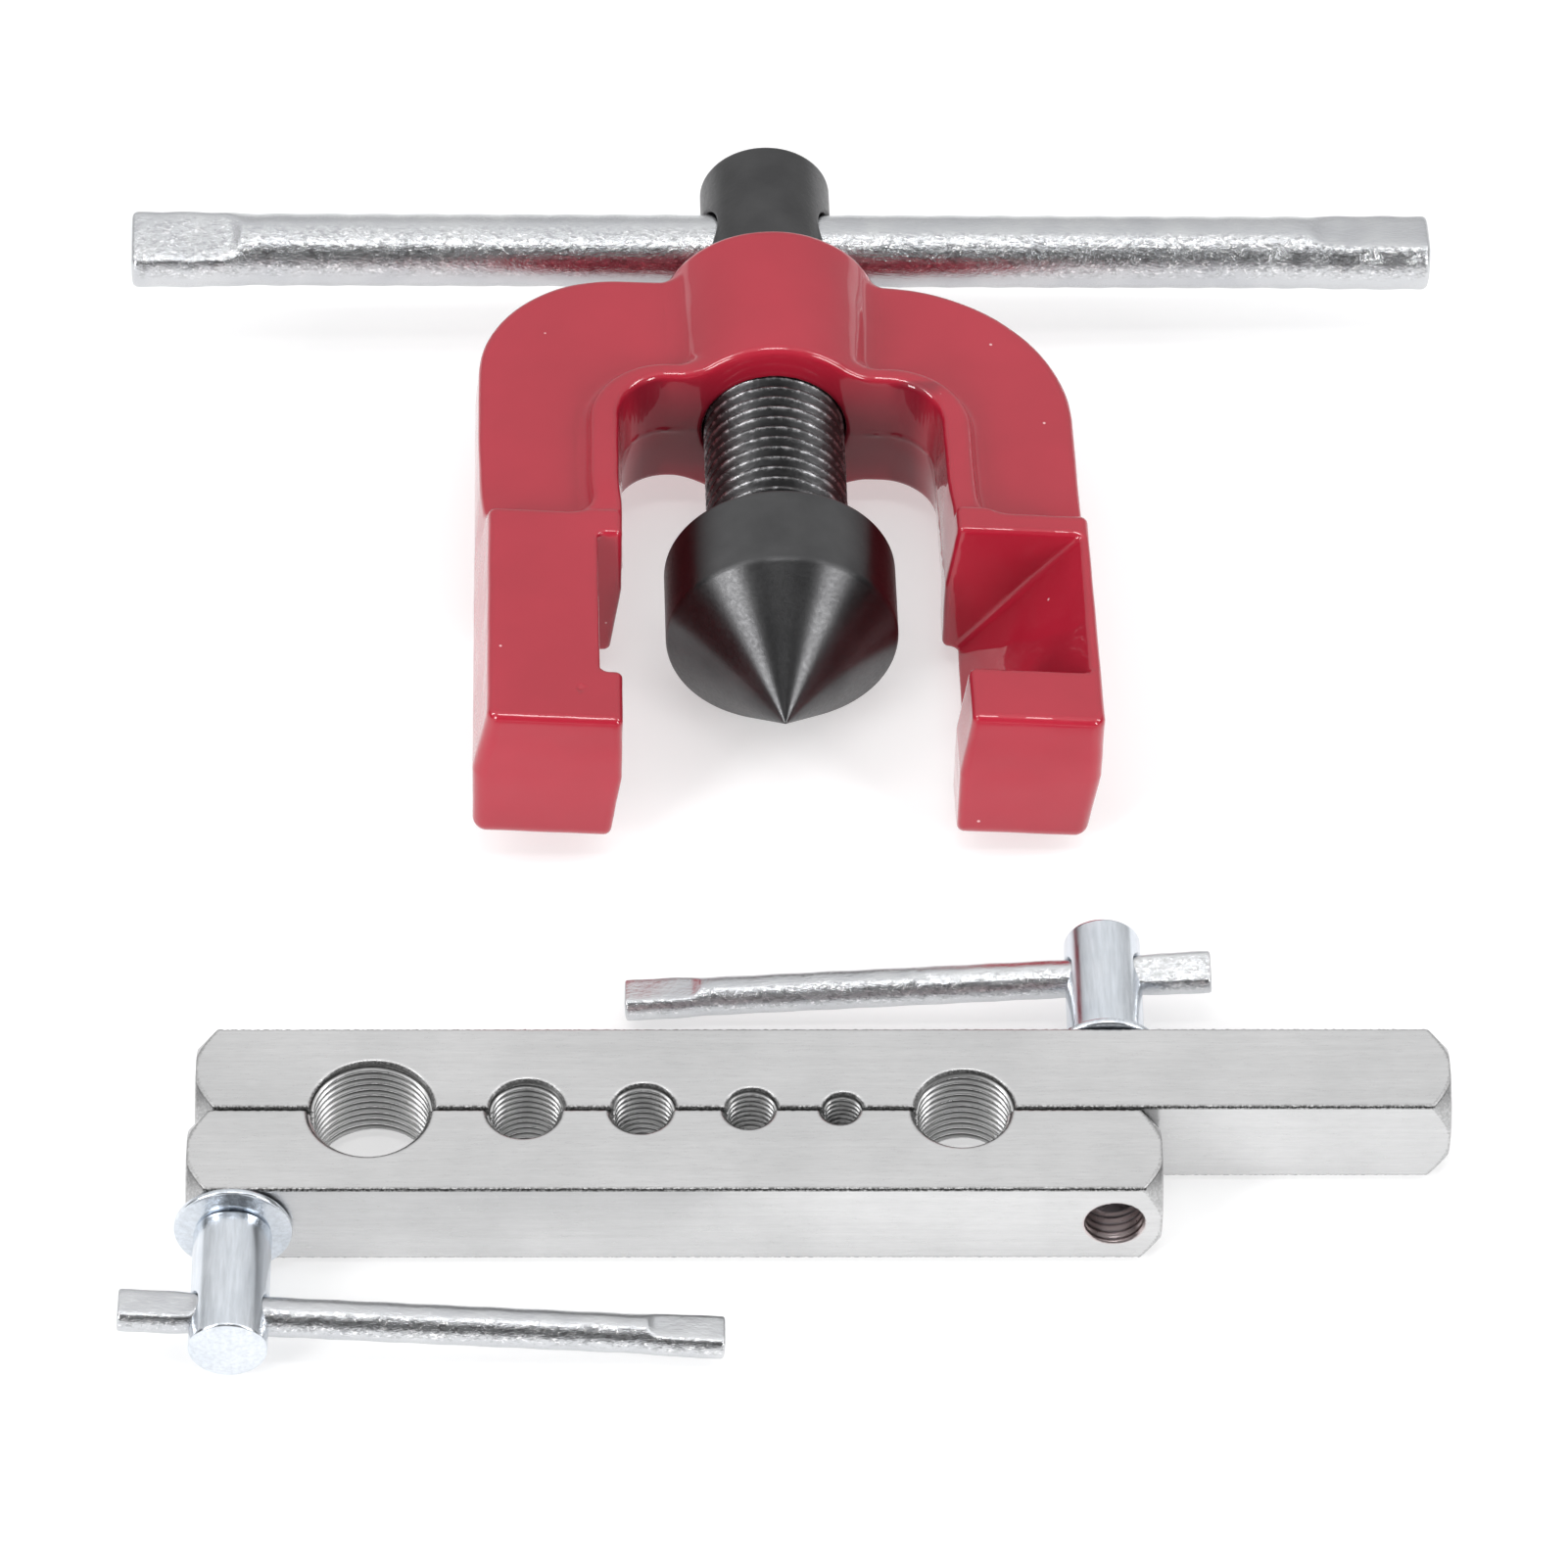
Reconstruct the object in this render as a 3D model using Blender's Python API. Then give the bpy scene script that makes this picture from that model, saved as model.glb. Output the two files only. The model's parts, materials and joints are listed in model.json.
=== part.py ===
"""Flaring tool: a split die bar with six tube sizes and two clamp screws, and a
loose yoke whose feed screw drives a 45 degree flaring cone.

Blender units are metres, +Z up; the sizes below are millimetres.  Everything lies
on a bench: the die bars in front, the yoke flat behind them with the cone pointing
at the bars (towards -Y).  The origin is the centre of the long bar's underside.
"""

import math

import bmesh
import bpy
from mathutils import Matrix, Vector

MILLI = 0.001

# ---------------------------------------------------------------- die bars
BAR = 14.0                  # side of both square bars
SPLIT_GAP = 0.3             # gap left between the two bars when closed
LONG_X = (-83.5, 83.5)      # ends of the long (rear) bar
LONG_Y = (-BAR / 2, BAR / 2)
SHORT_X = (-84.2, 44.6)     # ends of the short (front) bar
SHORT_Y = (LONG_Y[0] - SPLIT_GAP - BAR, LONG_Y[0] - SPLIT_GAP)
SPLIT_Y = LONG_Y[0] - SPLIT_GAP / 2
END_CHAMFER_R = 7.1         # radius at which the turned 45 degree end chamfer starts
ENVELOPE_R = 11.0           # turned envelope, clear of the bar's corners
ENVELOPE_PLAY = 0.02        # and standing this far past the bar's ends

INCH = 25.4
# centre along the bar, tube outside diameter
TUBE_HOLES = [
    (-60.1, 5 / 8 * INCH),
    (-39.6, 3 / 8 * INCH),
    (-24.1, 5 / 16 * INCH),
    (-9.8, 1 / 4 * INCH),
    (2.3, 3 / 16 * INCH),
    (18.4, 1 / 2 * INCH),
]
MOUTH = 0.55                # 45 degree mouth chamfer of each tube hole
MOUTH_OVER = 0.5            # the mouth's cutter carries on this far above the bar
BAR_CUT_OVER = 2.0          # hole cutters stand this far out of the bar

# ------------------------------------------------------------ clamp screws
CLAMP_Z = BAR / 2
LEFT_X = -78.0              # enters from the front, threads into the long bar
RIGHT_X = 38.2              # enters from the back, threads into the short bar
LEFT_TIP_Y, RIGHT_TIP_Y = 5.5, -16.5
SHANK_R = 3.9               # M8
SHANK_TIP_R, SHANK_TIP_LEN = SHANK_R - 0.8, 0.9
CLEAR_R = 4.35              # plain hole for the shank
TAPPED_R = 4.15             # tapped hole, modelled plain
WASHER_PLAY = 0.3           # gap on either side of the washer
WASHER_R, WASHER_T = 7.8, 1.5
WASHER_HOLE_R = SHANK_R + 0.3
HEAD_R, HEAD_LEN = 5.2, 19.9
HEAD_IN_EDGE, HEAD_OUT_EDGE = 0.3, 0.5      # chamfers of the head's two ends
CROSS_FROM_END = 6.5        # cross hole centre from the head's free end
CROSS_R, CROSS_REACH = 2.9, 9.0
TOMMY_R, TOMMY_LEN = 2.6, 79.5
TOMMY_SWAGE = 10.0          # length of each flattened end
TOMMY_FLAT = 1.95           # half thickness of the flattened ends
TOMMY_SHORT = 14.6          # short side of the bar, measured from the screw axis
TOMMY_DROP = math.radians(4.2)  # the long side hangs down this much

# ----------------------------------------------- feed screw and its cone
# From here on x, y, z are in the yoke's own frame: x across, y along the screw
# (cone at the negative end), z up.
SCREW_R = 10.0              # M20 x 2
THREAD_END_Y, THREAD_CHAMFER = -39.1, 0.8
THREAD_RUNOUT = 1.6         # taper from the thread down to the head
FEED_HEAD_R, FEED_HEAD_Y = 9.4, (17.0, 37.0)
FEED_HEAD_EDGES = (1.2, 0.8)                # chamfers of the head's two ends
SPIGOT_R, SPIGOT_END_Y, SPIGOT_CHAMFER = 5.0, -49.0, 0.6
GROOVE_R, GROOVE_Y = 4.2, (-44.6, -43.0)
GROOVE_MID_Y = sum(GROOVE_Y) / 2
HANDLE_Y, HANDLE_R = 25.0, 5.2
HANDLE_HOLE_R, HANDLE_HOLE_REACH = 5.6, 14.0
HANDLE_LEN, HANDLE_SHIFT, HANDLE_SWAGE = 188.0, 1.6, 15.0
CONE_R = 16.2
CONE_BACK_Y, CONE_FRONT_Y = -39.6, -53.5
CONE_BACK_CHAMFER = 0.8
POCKET_R, POCKET_END_Y, POCKET_CHAMFER = 5.4, -53.2, 0.5
SEAT_R, SEAT_HALF = 6.4, 0.9                # ring seat inside the cone
RING_IN_R, RING_OUT_R, RING_T = 4.5, 6.0, 1.0
RING_START, RING_SWEEP, RING_STEPS = math.radians(45), math.radians(290), 22
BALL_R, BALL_Y = 1.9, -51.1
BALL_STEPS = 8              # steps from pole to pole

# -------------------------------------------------------------------- yoke
BENCH_Z = CLAMP_Z - WASHER_R                # the washers stand on the bench
YOKE_AT = (-6.0, 131.5, BENCH_Z + CONE_R)   # middle of the threaded boss, on the bench
YOKE_YAW = math.radians(1.2)    # the yoke lies turned this much on the bench,
CAST_ROLL = math.radians(1.5)   # its casting rolled this much about the screw
HANDLE_ROLL = math.radians(1.3) # and its T-handle this much
ARM_TWIST = math.radians(1.5)   # the arm faces are twisted this much against the legs
LEG_HALF = 11.6             # half thickness of the legs
ROOF_HALF = 10.2            # half thickness of the rim at the throat roof
PAD_HALF = ROOF_HALF + 0.6  # and where the arm faces meet the pads
DRAFT = 0.7                 # taper of the side walls from parting line to face
CROWN_Y, ROOF_Y, FOOT_Y = 10.8, -12.5, -80.2
OUT_X, OUT_FOOT_X = 42.2, 43.2
IN_X, IN_FOOT_X = 22.6, 23.6
LEFT_CORNER, RIGHT_CORNER = 20.0, 27.0      # outer shoulders
IN_CORNER, FOOT_CORNER = 7.0, 1.5
RIM = 5.4                   # width of the raised rim along the throat's sides
ROOF_RIM = 4.2              # and along its roof
RECESS_CORNER = IN_CORNER + 4
RECESS_FOOT_CORNER = 2.5
WEB_HALF = 7.2              # half thickness of the recessed web
PAD_Y = -39.9               # where the full-thickness pads start
# the cutters' outer limits, all clear of the casting
FACE_CUT_X, FACE_CUT_Y, FACE_CUT_Z = 60, 40, 30
RECESS_CUT_Y, RECESS_CUT_Z = 30, 20.0
BOSS_NEAR_R, BOSS_FAR_R = 15.2, 15.8
BOSS_Y = (-12.8, 13.0)
BOSS_EDGES = (0.8, 1.2)     # chamfers of the near and far ends
BORE_R, BORE_MOUTH, BORE_OVER = 10.3, 1, 3  # mouths are 45 degrees, cut on past the boss
NOTCH_Y = (-70.2, -43.8)
NOTCH_TOP_X, NOTCH_BOTTOM_X = 40.5, 25.6    # the slanted notch wall
NOTCH_CUT_X = 12            # the cutter starts here, inside the throat
NOTCH_CUT_Z = (15, -18)

# --------------------------------------------------------------- materials
MATERIALS = {
    "die_nickel": dict(colour=(0.62, 0.62, 0.61), roughness=0.32, metallic=1.0),
    "bright_zinc": dict(colour=(0.62, 0.65, 0.70), roughness=0.28, metallic=1.0),
    "bar_zinc": dict(colour=(0.66, 0.67, 0.69), roughness=0.24, metallic=1.0),
    "red_enamel": dict(colour=(0.48, 0.028, 0.045), roughness=0.28, metallic=0.0, coat=0.6),
    "black_oxide": dict(colour=(0.035, 0.037, 0.038), roughness=0.42, metallic=0.85),
    "spring_steel": dict(colour=(0.30, 0.30, 0.31), roughness=0.35, metallic=1.0),
    "ball_steel": dict(colour=(0.70, 0.70, 0.72), roughness=0.08, metallic=1.0),
}
SHARP_ANGLE = math.radians(35)


def make_material(name, colour, roughness, metallic, coat=0.0):
    material = bpy.data.materials.get(name) or bpy.data.materials.new(name)
    material.use_nodes = True
    inputs = material.node_tree.nodes["Principled BSDF"].inputs
    inputs["Base Color"].default_value = (*colour, 1.0)
    inputs["Roughness"].default_value = roughness
    inputs["Metallic"].default_value = metallic
    inputs["Coat Weight"].default_value = coat
    material.diffuse_color = (*colour, 1.0)
    return material


# ----------------------------------------------------------------- objects
def clear_scene():
    for obj in list(bpy.data.objects):
        bpy.data.objects.remove(obj, do_unlink=True)
    for mesh in list(bpy.data.meshes):
        bpy.data.meshes.remove(mesh)


def add_object(name, solid, parent):
    bmesh.ops.recalc_face_normals(solid, faces=solid.faces)
    mesh = bpy.data.meshes.new(name)
    solid.to_mesh(mesh)
    solid.free()
    obj = bpy.data.objects.new(name, mesh)
    bpy.context.scene.collection.objects.link(obj)
    obj.parent = parent
    return obj


def add_piece(name, solid, material_name, parent=None):
    """Visible piece, smooth shaded with sharp edges."""
    piece = add_object(name, solid, parent)
    piece.data.materials.append(make_material(material_name, **MATERIALS[material_name]))
    piece.data.shade_smooth()
    piece.data.set_sharp_from_angle(angle=SHARP_ANGLE)
    return piece


def combine(piece, operation, name, solid, parent=None):
    """Add a hidden helper and a boolean modifier that applies it to the piece."""
    helper = add_object(name, solid, parent)
    helper.hide_render = True
    helper.display_type = "WIRE"
    modifier = piece.modifiers.new(helper.name, "BOOLEAN")
    modifier.operation = operation
    modifier.solver = "EXACT"
    modifier.object = helper
    return helper


def add_empty(name, location=(0.0, 0.0, 0.0), rotation=(0.0, 0.0, 0.0), parent=None):
    obj = bpy.data.objects.new(name, None)
    bpy.context.scene.collection.objects.link(obj)
    obj.location = Vector(location) * MILLI
    obj.rotation_euler = rotation
    obj.parent = parent
    return obj


def place_across(obj, y, tilt=0.0):
    """Put an object built along X across its parent's Y axis, turned about Y."""
    obj.location = (0, y * MILLI, 0)
    obj.rotation_euler = (0, tilt, 0)


# ------------------------------------------------------------------ solids
# which of (cosine part, sine part, distance along) becomes x, y and z
AXIS_ORDER = {"X": (2, 0, 1), "Y": (1, 2, 0), "Z": (0, 1, 2)}


def turned(profile, segments=32, axis="Y", centre=(0.0, 0.0, 0.0), solid=None):
    """Solid of revolution.  profile: (radius, distance along the axis).  It starts
    and ends on the axis, or else stays off it and is joined up into a ring."""
    solid = solid or bmesh.new()
    rings = []
    for radius, along in profile:
        ring = []
        for k in range(1 if radius < 1e-6 else segments):
            angle = 2 * math.pi * k / segments
            parts = (radius * math.cos(angle), radius * math.sin(angle), along)
            point = Vector([parts[i] for i in AXIS_ORDER[axis]])
            ring.append(solid.verts.new((point + Vector(centre)) * MILLI))
        rings.append(ring)
    for one, two in zip(rings, rings[1:] + rings[:1]):
        for k in range(segments):
            following = k + 1
            corners = [
                ring[j % len(ring)]
                for ring, j in ((one, k), (two, k), (two, following), (one, following))
            ]
            distinct = list(dict.fromkeys(corners))
            if len(distinct) > 2:
                solid.faces.new(distinct)
    return solid


def cylinder(radius, start, end):
    """Profile of a plain cylinder."""
    return [(0, start), (radius, start), (radius, end), (0, end)]


def layered(loops, solid=None):
    """Closed solid through loops of equally many points, capped at both ends."""
    solid = solid or bmesh.new()
    rings = [[solid.verts.new(Vector(point) * MILLI) for point in loop] for loop in loops]
    for one, two in zip(rings, rings[1:]):
        count = len(one)
        for k in range(count):
            following = (k + 1) % count
            solid.faces.new((one[k], one[following], two[following], two[k]))
    solid.faces.new(list(reversed(rings[0])))
    solid.faces.new(rings[-1])
    return solid


def prism(outline, low, high, solid=None):
    """(x, y) outline extruded along Z."""
    return layered([[(x, y, z) for x, y in outline] for z in (low, high)], solid)


def rounded(points, steps=6):
    """Outline from (x, y, corner radius) points, with each corner turned to an arc."""
    outline = []
    for i, (x, y, radius) in enumerate(points):
        corner = Vector((x, y))
        if radius <= 0:
            outline.append(corner)
            continue
        back = (Vector(points[i - 1][:2]) - corner).normalized()
        ahead = (Vector(points[(i + 1) % len(points)][:2]) - corner).normalized()
        half = back.angle(ahead) / 2
        reach = radius / math.tan(half)
        centre = corner + (back + ahead).normalized() * (radius / math.sin(half))
        start = corner + back * reach - centre
        end = corner + ahead * reach - centre
        sweep = start.angle_signed(end)
        for k in range(steps + 1):
            outline.append(centre + Matrix.Rotation(-sweep * k / steps, 2) @ start)
    return outline


def inset(outline, distance):
    """Smooth anticlockwise outline moved inwards."""
    moved = []
    for i, point in enumerate(outline):
        before = (point - outline[i - 1]).normalized()
        after = (outline[(i + 1) % len(outline)] - point).normalized()
        normal = Vector((-before.y, before.x))
        mitre = normal + Vector((-after.y, after.x))
        moved.append(point + mitre / mitre.dot(normal) * distance)
    return moved


def swaged_bar(length, radius, swage, shift, flats, rolls, segments):
    """Round bar along X whose two ends are pressed to flats and spread a little.
    flats: half thickness left at the -X and +X ends; rolls: turn of those flats
    about the bar; swage: length of each pressed end; shift: the bar's middle."""
    spread = 0.5 * swage / 10.0 * radius / 5.2 + 0.28
    edge = 0.12 * radius
    slope = swage * 0.16

    def ring(x, flat, roll, grow, shrink):
        limit = flat - shrink * 0.6
        cosine, sine = math.cos(roll), math.sin(roll)
        loop = []
        for k in range(segments):
            angle = 2 * math.pi * k / segments + math.pi / segments
            y = (radius + grow - shrink) * math.cos(angle)
            z = (radius - shrink) * math.sin(angle)
            z = max(-limit, min(limit, z))
            loop.append((x, y * cosine - z * sine, y * sine + z * cosine))
        return loop

    def end_rings(end_x, inward, flat, roll):
        # distance from the end, half thickness, roll, extra width, edge rounding
        stations = [
            (0.0, flat, roll, spread, edge),
            (edge, flat, roll, spread, 0.0),
            (swage - slope, flat, roll, spread * 0.6, 0.0),
            (swage, radius * 0.99, roll, 0.0, 0.0),
            (swage + 1, radius * 2, 0.0, 0.0, 0.0),
        ]
        return [ring(end_x + inward * distance, *rest) for distance, *rest in stations]

    minus_end = end_rings(shift - length / 2, 1, flats[0], rolls[0])
    plus_end = end_rings(shift + length / 2, -1, flats[1], rolls[1])
    return layered(minus_end + plus_end[::-1])


# ---------------------------------------------------------------- die bars
def end_envelope(x_range, y_range):
    """Turned body that chamfers both ends of a bar."""
    start, end = x_range[0] - ENVELOPE_PLAY, x_range[1] + ENVELOPE_PLAY
    depth = ENVELOPE_R - END_CHAMFER_R
    profile = [
        (0.0, start),
        (END_CHAMFER_R, start),
        (ENVELOPE_R, start + depth),
        (ENVELOPE_R, end - depth),
        (END_CHAMFER_R, end),
        (0.0, end),
    ]
    return turned(profile, segments=64, axis="X", centre=(0.0, sum(y_range) / 2, BAR / 2))


def tube_plugs():
    """Cutters for all tube holes, centred on the split, with their mouths on top."""
    plugs = bmesh.new()
    for x, diameter in TUBE_HOLES:
        radius = diameter / 2
        mouth_radius = radius + MOUTH + MOUTH_OVER
        profile = [
            (0, -BAR_CUT_OVER),
            (radius, -BAR_CUT_OVER),
            (radius, BAR - MOUTH),
            (mouth_radius, BAR + MOUTH_OVER),
            (mouth_radius, BAR + BAR_CUT_OVER),
            (0, BAR + BAR_CUT_OVER),
        ]
        segments = 40 if radius > 5 else 28
        turned(profile, segments, axis="Z", centre=(x, SPLIT_Y, 0.0), solid=plugs)
    return plugs


def make_bar(name, x_range, y_range, clear_x, tapped_x):
    (x0, x1), (y0, y1) = x_range, y_range
    body = prism([(x0, y0), (x1, y0), (x1, y1), (x0, y1)], 0.0, BAR)
    bar = add_piece(name, body, "die_nickel")
    combine(bar, "INTERSECT", name + "_end_envelope", end_envelope(x_range, y_range))
    combine(bar, "DIFFERENCE", name + "_tube_plugs", tube_plugs())

    drills = bmesh.new()
    for x, radius in ((clear_x, CLEAR_R), (tapped_x, TAPPED_R)):
        profile = cylinder(radius, y0 - BAR_CUT_OVER, y1 + BAR_CUT_OVER)
        turned(profile, segments=28, centre=(x, 0.0, CLAMP_Z), solid=drills)
    combine(bar, "DIFFERENCE", name + "_drills", drills)


# ------------------------------------------------------------ clamp screws
def make_clamp(side, x, outward, face_y, tip_y, long_side, plus_roll):
    """Clamp screw, washer and tommy bar on the bar face at face_y.
    outward: +1 when the head is on the +Y side, else -1; long_side: the side of
    the screw, along X, the tommy bar sticks out; plus_roll: its +X flat's turn."""
    pivot = add_empty(side + "_clamp_axis", (x, face_y, CLAMP_Z))
    washer_in = WASHER_PLAY
    washer_out = washer_in + WASHER_T
    head_in = washer_out + WASHER_PLAY
    head_out = head_in + HEAD_LEN
    tip = (tip_y - face_y) * outward
    cross_y = (head_out - CROSS_FROM_END) * outward
    tilt = TOMMY_DROP * long_side

    def turned_outward(profile, segments):
        return turned([(radius, along * outward) for radius, along in profile], segments)

    screw = add_piece(side + "_clamp_screw", turned_outward([
        (0.0, tip),
        (SHANK_TIP_R, tip),
        (SHANK_R, tip + SHANK_TIP_LEN),
        (SHANK_R, head_in),
        (HEAD_R - HEAD_IN_EDGE, head_in),
        (HEAD_R, head_in + HEAD_IN_EDGE),
        (HEAD_R, head_out - HEAD_OUT_EDGE),
        (HEAD_R - HEAD_OUT_EDGE, head_out),
        (0.0, head_out),
    ], segments=32), "bright_zinc", pivot)
    hole = turned(cylinder(CROSS_R, -CROSS_REACH, CROSS_REACH), segments=24, axis="X")
    drill = combine(screw, "DIFFERENCE", side + "_cross_drill", hole, pivot)
    place_across(drill, cross_y, tilt)

    add_piece(side + "_clamp_washer", turned_outward([
        (WASHER_HOLE_R, washer_in),
        (WASHER_R - 0.2, washer_in),
        (WASHER_R, washer_in + 0.2),
        (WASHER_R, washer_out - 0.4),
        (WASHER_R - 0.5, washer_out),
        (WASHER_HOLE_R, washer_out),
    ], segments=36), "bright_zinc", pivot)

    tommy = swaged_bar(
        TOMMY_LEN, TOMMY_R, TOMMY_SWAGE,
        shift=(TOMMY_LEN / 2 - TOMMY_SHORT) * long_side,
        flats=(TOMMY_FLAT, TOMMY_FLAT),
        rolls=(math.radians(20), plus_roll),
        segments=20,
    )
    place_across(add_piece(side + "_tommy_bar", tommy, "bar_zinc", pivot), cross_y, tilt)


# -------------------------------------------------------------------- yoke
def yoke_body():
    """Horseshoe, widest at the parting line z = 0 and drafted to both faces."""
    outline = rounded([
        (OUT_FOOT_X, FOOT_Y, FOOT_CORNER), (OUT_X, CROWN_Y, RIGHT_CORNER),
        (-OUT_X, CROWN_Y, LEFT_CORNER), (-OUT_FOOT_X, FOOT_Y, FOOT_CORNER),
        (-IN_FOOT_X, FOOT_Y, FOOT_CORNER), (-IN_X, ROOF_Y, IN_CORNER),
        (IN_X, ROOF_Y, IN_CORNER), (IN_FOOT_X, FOOT_Y, FOOT_CORNER),
    ])
    face = inset(outline, DRAFT)
    levels = ((face, -LEG_HALF), (outline, 0.0), (face, LEG_HALF))
    return layered([[(x, y, z) for x, y in loop] for loop, z in levels])


def arm_faces():
    """Cutters that thin the arms above and below, from the pads to the crown."""
    faces = bmesh.new()
    stations = ((PAD_Y, PAD_HALF), (ROOF_Y, ROOF_HALF), (FACE_CUT_Y, ROOF_HALF))
    for side in (1, -1):
        layered([
            [
                (-FACE_CUT_X, y, side * low), (FACE_CUT_X, y, side * low),
                (FACE_CUT_X, y, side * FACE_CUT_Z), (-FACE_CUT_X, y, side * FACE_CUT_Z),
            ]
            for y, low in stations
        ], faces)
    return faces


def web_recess():
    """Cutters that sink the web outside the rim, above and below."""
    rim_x, rim_y = IN_X + RIM, ROOF_Y + ROOF_RIM
    outline = rounded([
        (-FACE_CUT_X, PAD_Y, 0), (-rim_x, PAD_Y, RECESS_FOOT_CORNER),
        (-rim_x, rim_y, RECESS_CORNER), (rim_x, rim_y, RECESS_CORNER),
        (rim_x, PAD_Y, RECESS_FOOT_CORNER), (FACE_CUT_X, PAD_Y, 0),
        (FACE_CUT_X, RECESS_CUT_Y, 0), (-FACE_CUT_X, RECESS_CUT_Y, 0),
    ])
    recess = prism(outline, WEB_HALF, RECESS_CUT_Z)
    return prism(outline, -RECESS_CUT_Z, -WEB_HALF, recess)


def yoke_boss():
    near, far = BOSS_Y
    near_edge, far_edge = BOSS_EDGES
    return turned([
        (0, near),
        (BOSS_NEAR_R - near_edge, near),
        (BOSS_NEAR_R, near + near_edge),
        (BOSS_FAR_R, far - far_edge),
        (BOSS_FAR_R - far_edge, far),
        (0, far),
    ], segments=48)


def yoke_bore():
    near, far = BOSS_Y
    mouth_radius = BORE_R + BORE_MOUTH
    return turned([
        (0, near - BORE_OVER),
        (mouth_radius + BORE_OVER, near - BORE_OVER),
        (mouth_radius, near),
        (BORE_R, near + BORE_MOUTH),
        (BORE_R, far - BORE_MOUTH),
        (mouth_radius, far),
        (mouth_radius + BORE_OVER, far + BORE_OVER),
        (0, far + BORE_OVER),
    ], segments=40)


def leg_notches():
    """Slant-walled notches in the legs, each the other turned half round the screw."""
    slope = (NOTCH_TOP_X - NOTCH_BOTTOM_X) / (2 * LEG_HALF)
    top, bottom = NOTCH_CUT_Z
    wall_top, wall_bottom = (NOTCH_BOTTOM_X + (z + LEG_HALF) * slope for z in NOTCH_CUT_Z)
    section = [(wall_top, top), (NOTCH_CUT_X, top), (NOTCH_CUT_X, bottom), (wall_bottom, bottom)]
    notches = bmesh.new()
    for side in (1, -1):
        layered([[(side * x, y, side * z) for x, z in section] for y in NOTCH_Y], notches)
    return notches


def make_yoke(frame):
    casting = add_empty("yoke_casting_axis", rotation=(0, CAST_ROLL, 0), parent=frame)
    yoke = add_piece("yoke_casting", yoke_body(), "red_enamel", casting)
    arms = add_empty("yoke_arm_axis", rotation=(0, ARM_TWIST, 0), parent=casting)
    combine(yoke, "DIFFERENCE", "yoke_arm_faces", arm_faces(), arms)
    combine(yoke, "DIFFERENCE", "yoke_web_recess", web_recess(), arms)
    combine(yoke, "UNION", "yoke_boss", yoke_boss(), casting)
    combine(yoke, "DIFFERENCE", "yoke_bore", yoke_bore(), casting)
    combine(yoke, "DIFFERENCE", "yoke_notches", leg_notches(), casting)


# ------------------------------------------------- feed screw and its cone
def make_feed_screw(parent):
    head_in, head_out = FEED_HEAD_Y
    in_edge, out_edge = FEED_HEAD_EDGES
    body = turned([
        (0, SPIGOT_END_Y),
        (SPIGOT_R - SPIGOT_CHAMFER, SPIGOT_END_Y),
        (SPIGOT_R, SPIGOT_END_Y + SPIGOT_CHAMFER),
        (SPIGOT_R, GROOVE_Y[0]),
        (GROOVE_R, GROOVE_Y[0]),
        (GROOVE_R, GROOVE_Y[1]),
        (SPIGOT_R, GROOVE_Y[1]),
        (SPIGOT_R, THREAD_END_Y),
        (SCREW_R - THREAD_CHAMFER, THREAD_END_Y),
        (SCREW_R, THREAD_END_Y + THREAD_CHAMFER),
        (SCREW_R, head_in - THREAD_RUNOUT),
        (FEED_HEAD_R - in_edge, head_in),
        (FEED_HEAD_R, head_in + in_edge),
        (FEED_HEAD_R, head_out - out_edge),
        (FEED_HEAD_R - out_edge, head_out),
        (0, head_out),
    ], segments=40)
    screw = add_piece("feed_screw", body, "black_oxide", parent)
    profile = cylinder(HANDLE_HOLE_R, -HANDLE_HOLE_REACH, HANDLE_HOLE_REACH)
    hole = turned(profile, segments=32, axis="X")
    place_across(combine(screw, "DIFFERENCE", "handle_drill", hole, parent), HANDLE_Y)


def make_handle(parent):
    bar = swaged_bar(
        HANDLE_LEN, HANDLE_R, HANDLE_SWAGE, HANDLE_SHIFT,
        flats=(3.7, 4.3),
        rolls=(math.radians(-4), math.radians(14)),
        segments=24,
    )
    place_across(add_piece("feed_handle", bar, "bar_zinc", parent), HANDLE_Y)


def make_cone(parent):
    """Cone with a pocket from the back for the spigot, ring and ball."""
    add_piece("flaring_cone", turned([
        (0, CONE_FRONT_Y - CONE_R),
        (CONE_R - 0.25, CONE_FRONT_Y - 0.3),
        (CONE_R, CONE_FRONT_Y + 0.1),
        (CONE_R, CONE_BACK_Y - CONE_BACK_CHAMFER),
        (CONE_R - CONE_BACK_CHAMFER, CONE_BACK_Y),
        (POCKET_R + POCKET_CHAMFER, CONE_BACK_Y),
        (POCKET_R, CONE_BACK_Y - POCKET_CHAMFER),
        (POCKET_R, GROOVE_MID_Y + SEAT_HALF),
        (SEAT_R, GROOVE_MID_Y + SEAT_HALF),
        (SEAT_R, GROOVE_MID_Y - SEAT_HALF),
        (POCKET_R, GROOVE_MID_Y - SEAT_HALF),
        (POCKET_R, POCKET_END_Y),
        (0, POCKET_END_Y),
    ], segments=48), "black_oxide", parent)


def make_retaining_ring(parent):
    """Open ring of rectangular section in the spigot's groove."""
    low, high = GROOVE_MID_Y - RING_T / 2, GROOVE_MID_Y + RING_T / 2
    section = ((RING_IN_R, low), (RING_OUT_R, low), (RING_OUT_R, high), (RING_IN_R, high))
    loops = []
    for k in range(RING_STEPS + 1):
        angle = RING_START + RING_SWEEP * k / RING_STEPS
        loops.append([
            (radius * math.cos(angle), y, radius * math.sin(angle)) for radius, y in section
        ])
    add_piece("cone_retaining_ring", layered(loops), "spring_steel", parent)


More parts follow.
